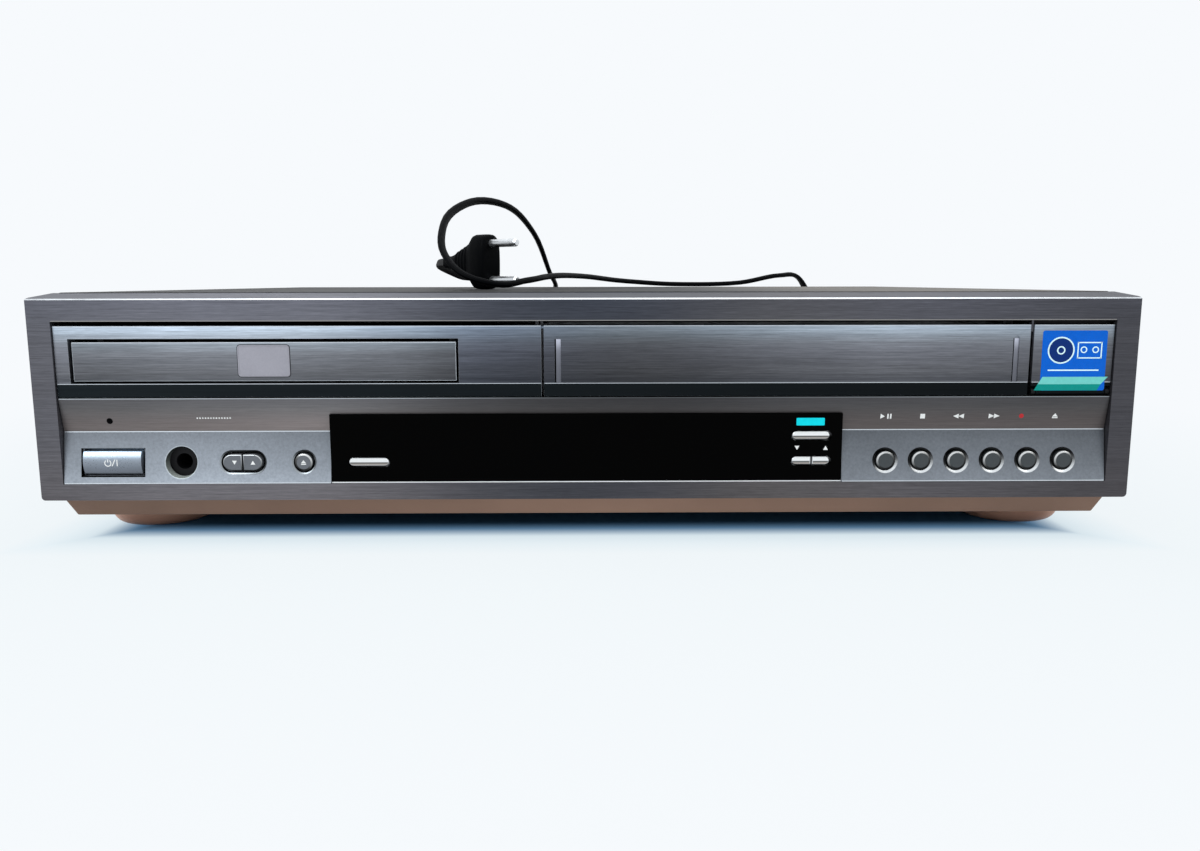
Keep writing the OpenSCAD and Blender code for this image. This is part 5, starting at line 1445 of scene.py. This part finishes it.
class PLAYER_OT_badge(bpy.types.Operator):
    """Fit the bare badge plate on the tray front"""

    bl_idname = "player.badge"
    bl_label = "Badge plate"

    def execute(self, context):
        width, height, corner = 20.1, 12.3, 1.2
        x = (TRAY_X0 + TRAY_X1) / 2 - 0.1
        z = (TRAY_Z0 + TRAY_Z1) / 2 + 0.15

        def plate(shape):
            outline = rounded_outline(x, z, width, height, corner, 5)
            fill(shape, outline, BAND_Y, 0.18)
            ring(shape, outline, [(0.0, 0.05), (-0.1, -0.3), (-0.45, -0.3), (-0.55, -0.15)], BAND_Y)
        new_piece("badge_plate", plate, "badge_silver", "tray")
        edge = plate_mark(x, z, width + 0.5, height + 0.5, corner + 0.2, 5)
        marks("badge_edge", edge, BAND_Y, "ink_black", "tray", 0.03)
        return {"FINISHED"}


class PLAYER_OT_sticker(bpy.types.Operator):
    """Stick the plain blue and teal feature label on the socket door"""

    bl_idname = "player.sticker"
    bl_label = "Door sticker"

    def execute(self, context):
        x0, x1 = DOOR_X0 + 3.4, DOOR_X1 - 2.5
        z0, z1 = 60.4, 83.9
        middle, row = (x0 + x1) / 2, 76.2
        disc_x = middle - 5.2
        lines = arc_mark(disc_x, row, 5.0, 0.55, 0, 360, 32)
        lines += arc_mark(disc_x, row, 1.4, 0.5, 0, 360)
        lines += self.cassette(middle + 6.0, row) + bar_mark(middle, 68.4, 20.0, 0.5)
        left, right, cut, foot, top = DOOR_X0 + 0.7, DOOR_X1 - 1.4, 62.9, 60.45, 65.8
        cut_left, cut_right = left + 1.858, right - 2.542
        label = plate_mark(middle, (z0 + z1) / 2, x1 - x0, z1 - z0, 0.8, 4)
        for name, outlines, ink, lift in (
                ("label", label, "blue", 0.05),
                ("disc_shade", dot_mark(disc_x, row, 5.0), "navy", 0.07),
                ("lines", lines, "white", 0.09),
                ("mint", [[(cut_left, cut), (cut_right, cut), (right + 0.1, top),
                           (left + 3.542, top)]], "mint", 0.08),
                ("teal", [[(left + 0.45, foot), (right - 3.95, foot), (cut_right, cut),
                           (cut_left, cut)]], "teal", 0.08)):
            marks("sticker_" + name, outlines, BAND_Y, "sticker_" + ink, "socket_door",
                  lift)
        return {"FINISHED"}

    def cassette(self, x, z):
        """A small outline of a cassette with two reels."""
        width, height, line = 9.2, 6.0, 0.45
        parts = []
        for side in (1, -1):
            parts += bar_mark(x, z + side * height / 2, width, line)
            parts += bar_mark(x + side * width / 2, z, line, height + line)
            parts += arc_mark(x + side * 2.3, z + 0.2, 1.1, 0.45, 0, 360, 16)
        return parts


class PLAYER_OT_cabinet(bpy.types.Operator):
    """Dress the cover, base, feet, chassis, rear panel and screws"""

    bl_idname = "player.cabinet"
    bl_label = "Cabinet"

    def execute(self, context):
        dress("top_cover", "chassis_pan", "rear_panel", "cover_screws", "feet")
        softened("base_plinth", 0.5 * MM, 3)
        marks("vent_gauze", bar_mark(*REAR_VENTS), span("rear_panel", 1)[0] - 0.3,
              "gap_black", "cabinet", 0.1)
        return {"FINISHED"}


class PLAYER_OT_sockets(bpy.types.Operator):
    """Dress the rear and front sockets and their coloured collars"""

    bl_idname = "player.sockets"
    bl_label = "Sockets"

    def execute(self, context):
        dress("scart_sockets", "tuner_can", "phono_sockets", "socket_tub")
        rear = span("rear_panel", 1)[1] + 0.4
        front = span("phono_sockets", 1)[0] + 7.8
        for side, tint, x, z, face, proud in (
                ("rear", "yellow", 10, 37, rear, 0.8),
                ("rear", "white", 24, 37, rear, 0.8),
                ("rear", "red", 38, 37, rear, 0.8),
                ("front", "yellow", DOOR_X0 + 8.6, BAND_Z0 + 20.8, front, -0.8),
                ("front", "white", DOOR_X0 + 8.6, BAND_Z0 + 8.8, front, -0.8),
                ("front", "red", DOOR_X0 + 22.6, BAND_Z0 + 8.8, front, -0.8)):
            profile = [(0.0, 0.0), (1.0, 0.0), (1.0, 0.7 * proud), (0.7, proud), (0.1, proud)]
            new_piece(
                side + "_collar_" + tint,
                lambda shape: ring(shape, disc_outline(x, z, COLLAR_R, 36), profile, face),
                "plug_" + tint, "cabinet")
        return {"FINISHED"}


class PLAYER_OT_loader(bpy.types.Operator):
    """Dress the disc loader"""

    bl_idname = "player.loader"
    bl_label = "Disc loader"

    def execute(self, context):
        dress("loader_base", "loader_walls", "loader_motor", "disc_tray", "tray_gear",
              "motor_carrier", "turntable", "laser_pickup", "disc_clamp")
        return {"FINISHED"}


class PLAYER_OT_deck(bpy.types.Operator):
    """Dress the cassette deck"""

    bl_idname = "player.deck"
    bl_label = "Cassette deck"

    def execute(self, context):
        dress("deck_plate", "deck_walls", "drum_base", "cassette_carriage", "cassette_cradle",
              "head_drum", "capstan", "supply_reel", "take_up_reel", "pinch_arm")
        return {"FINISHED"}


class PLAYER_OT_boards(bpy.types.Operator):
    """Dress the circuit boards"""

    bl_idname = "player.boards"
    bl_label = "Circuit boards"

    def execute(self, context):
        dress("front_board", "power_board", "main_board")
        return {"FINISHED"}


STEPS = [
    PLAYER_OT_stage, PLAYER_OT_mains_lead, PLAYER_OT_front_frame, PLAYER_OT_upper_panels,
    PLAYER_OT_lower_panels, PLAYER_OT_window, PLAYER_OT_keys, PLAYER_OT_key_rims,
    PLAYER_OT_headphone_socket, PLAYER_OT_symbols, PLAYER_OT_badge, PLAYER_OT_sticker,
    PLAYER_OT_cabinet, PLAYER_OT_sockets, PLAYER_OT_loader, PLAYER_OT_deck, PLAYER_OT_boards,
]


class PLAYER_PT_panel(bpy.types.Panel):
    """Lists the steps and settings of the player"""

    bl_idname = "PLAYER_PT_panel"
    bl_label = "Disc and cassette player"
    bl_space_type = "VIEW_3D"
    bl_region_type = "UI"
    bl_category = "Player"

    def draw(self, context):
        column = self.layout.column()
        for step in STEPS:
            column.operator(step.bl_idname)
        for group in (context.scene.player_sizes, context.scene.player_colours):
            for name in group.bl_rna.properties.keys():
                if name not in ("rna_type", "name"):
                    column.prop(group, name)


CLASSES = [PlayerSizes, PlayerColours, *STEPS, PLAYER_PT_panel]


def register():
    for cls in CLASSES:
        bpy.utils.register_class(cls)
    bpy.types.Scene.player_sizes = PointerProperty(type=PlayerSizes)
    bpy.types.Scene.player_colours = PointerProperty(type=PlayerColours)


def unregister():
    del bpy.types.Scene.player_colours
    del bpy.types.Scene.player_sizes
    for cls in reversed(CLASSES):
        bpy.utils.unregister_class(cls)


def main():
    register()
    bpy.context.scene.view_settings.view_transform = "Standard"
    for step in STEPS:
        space, name = step.bl_idname.split(".")
        getattr(getattr(bpy.ops, space), name)()


if __name__ == "__main__":
    main()
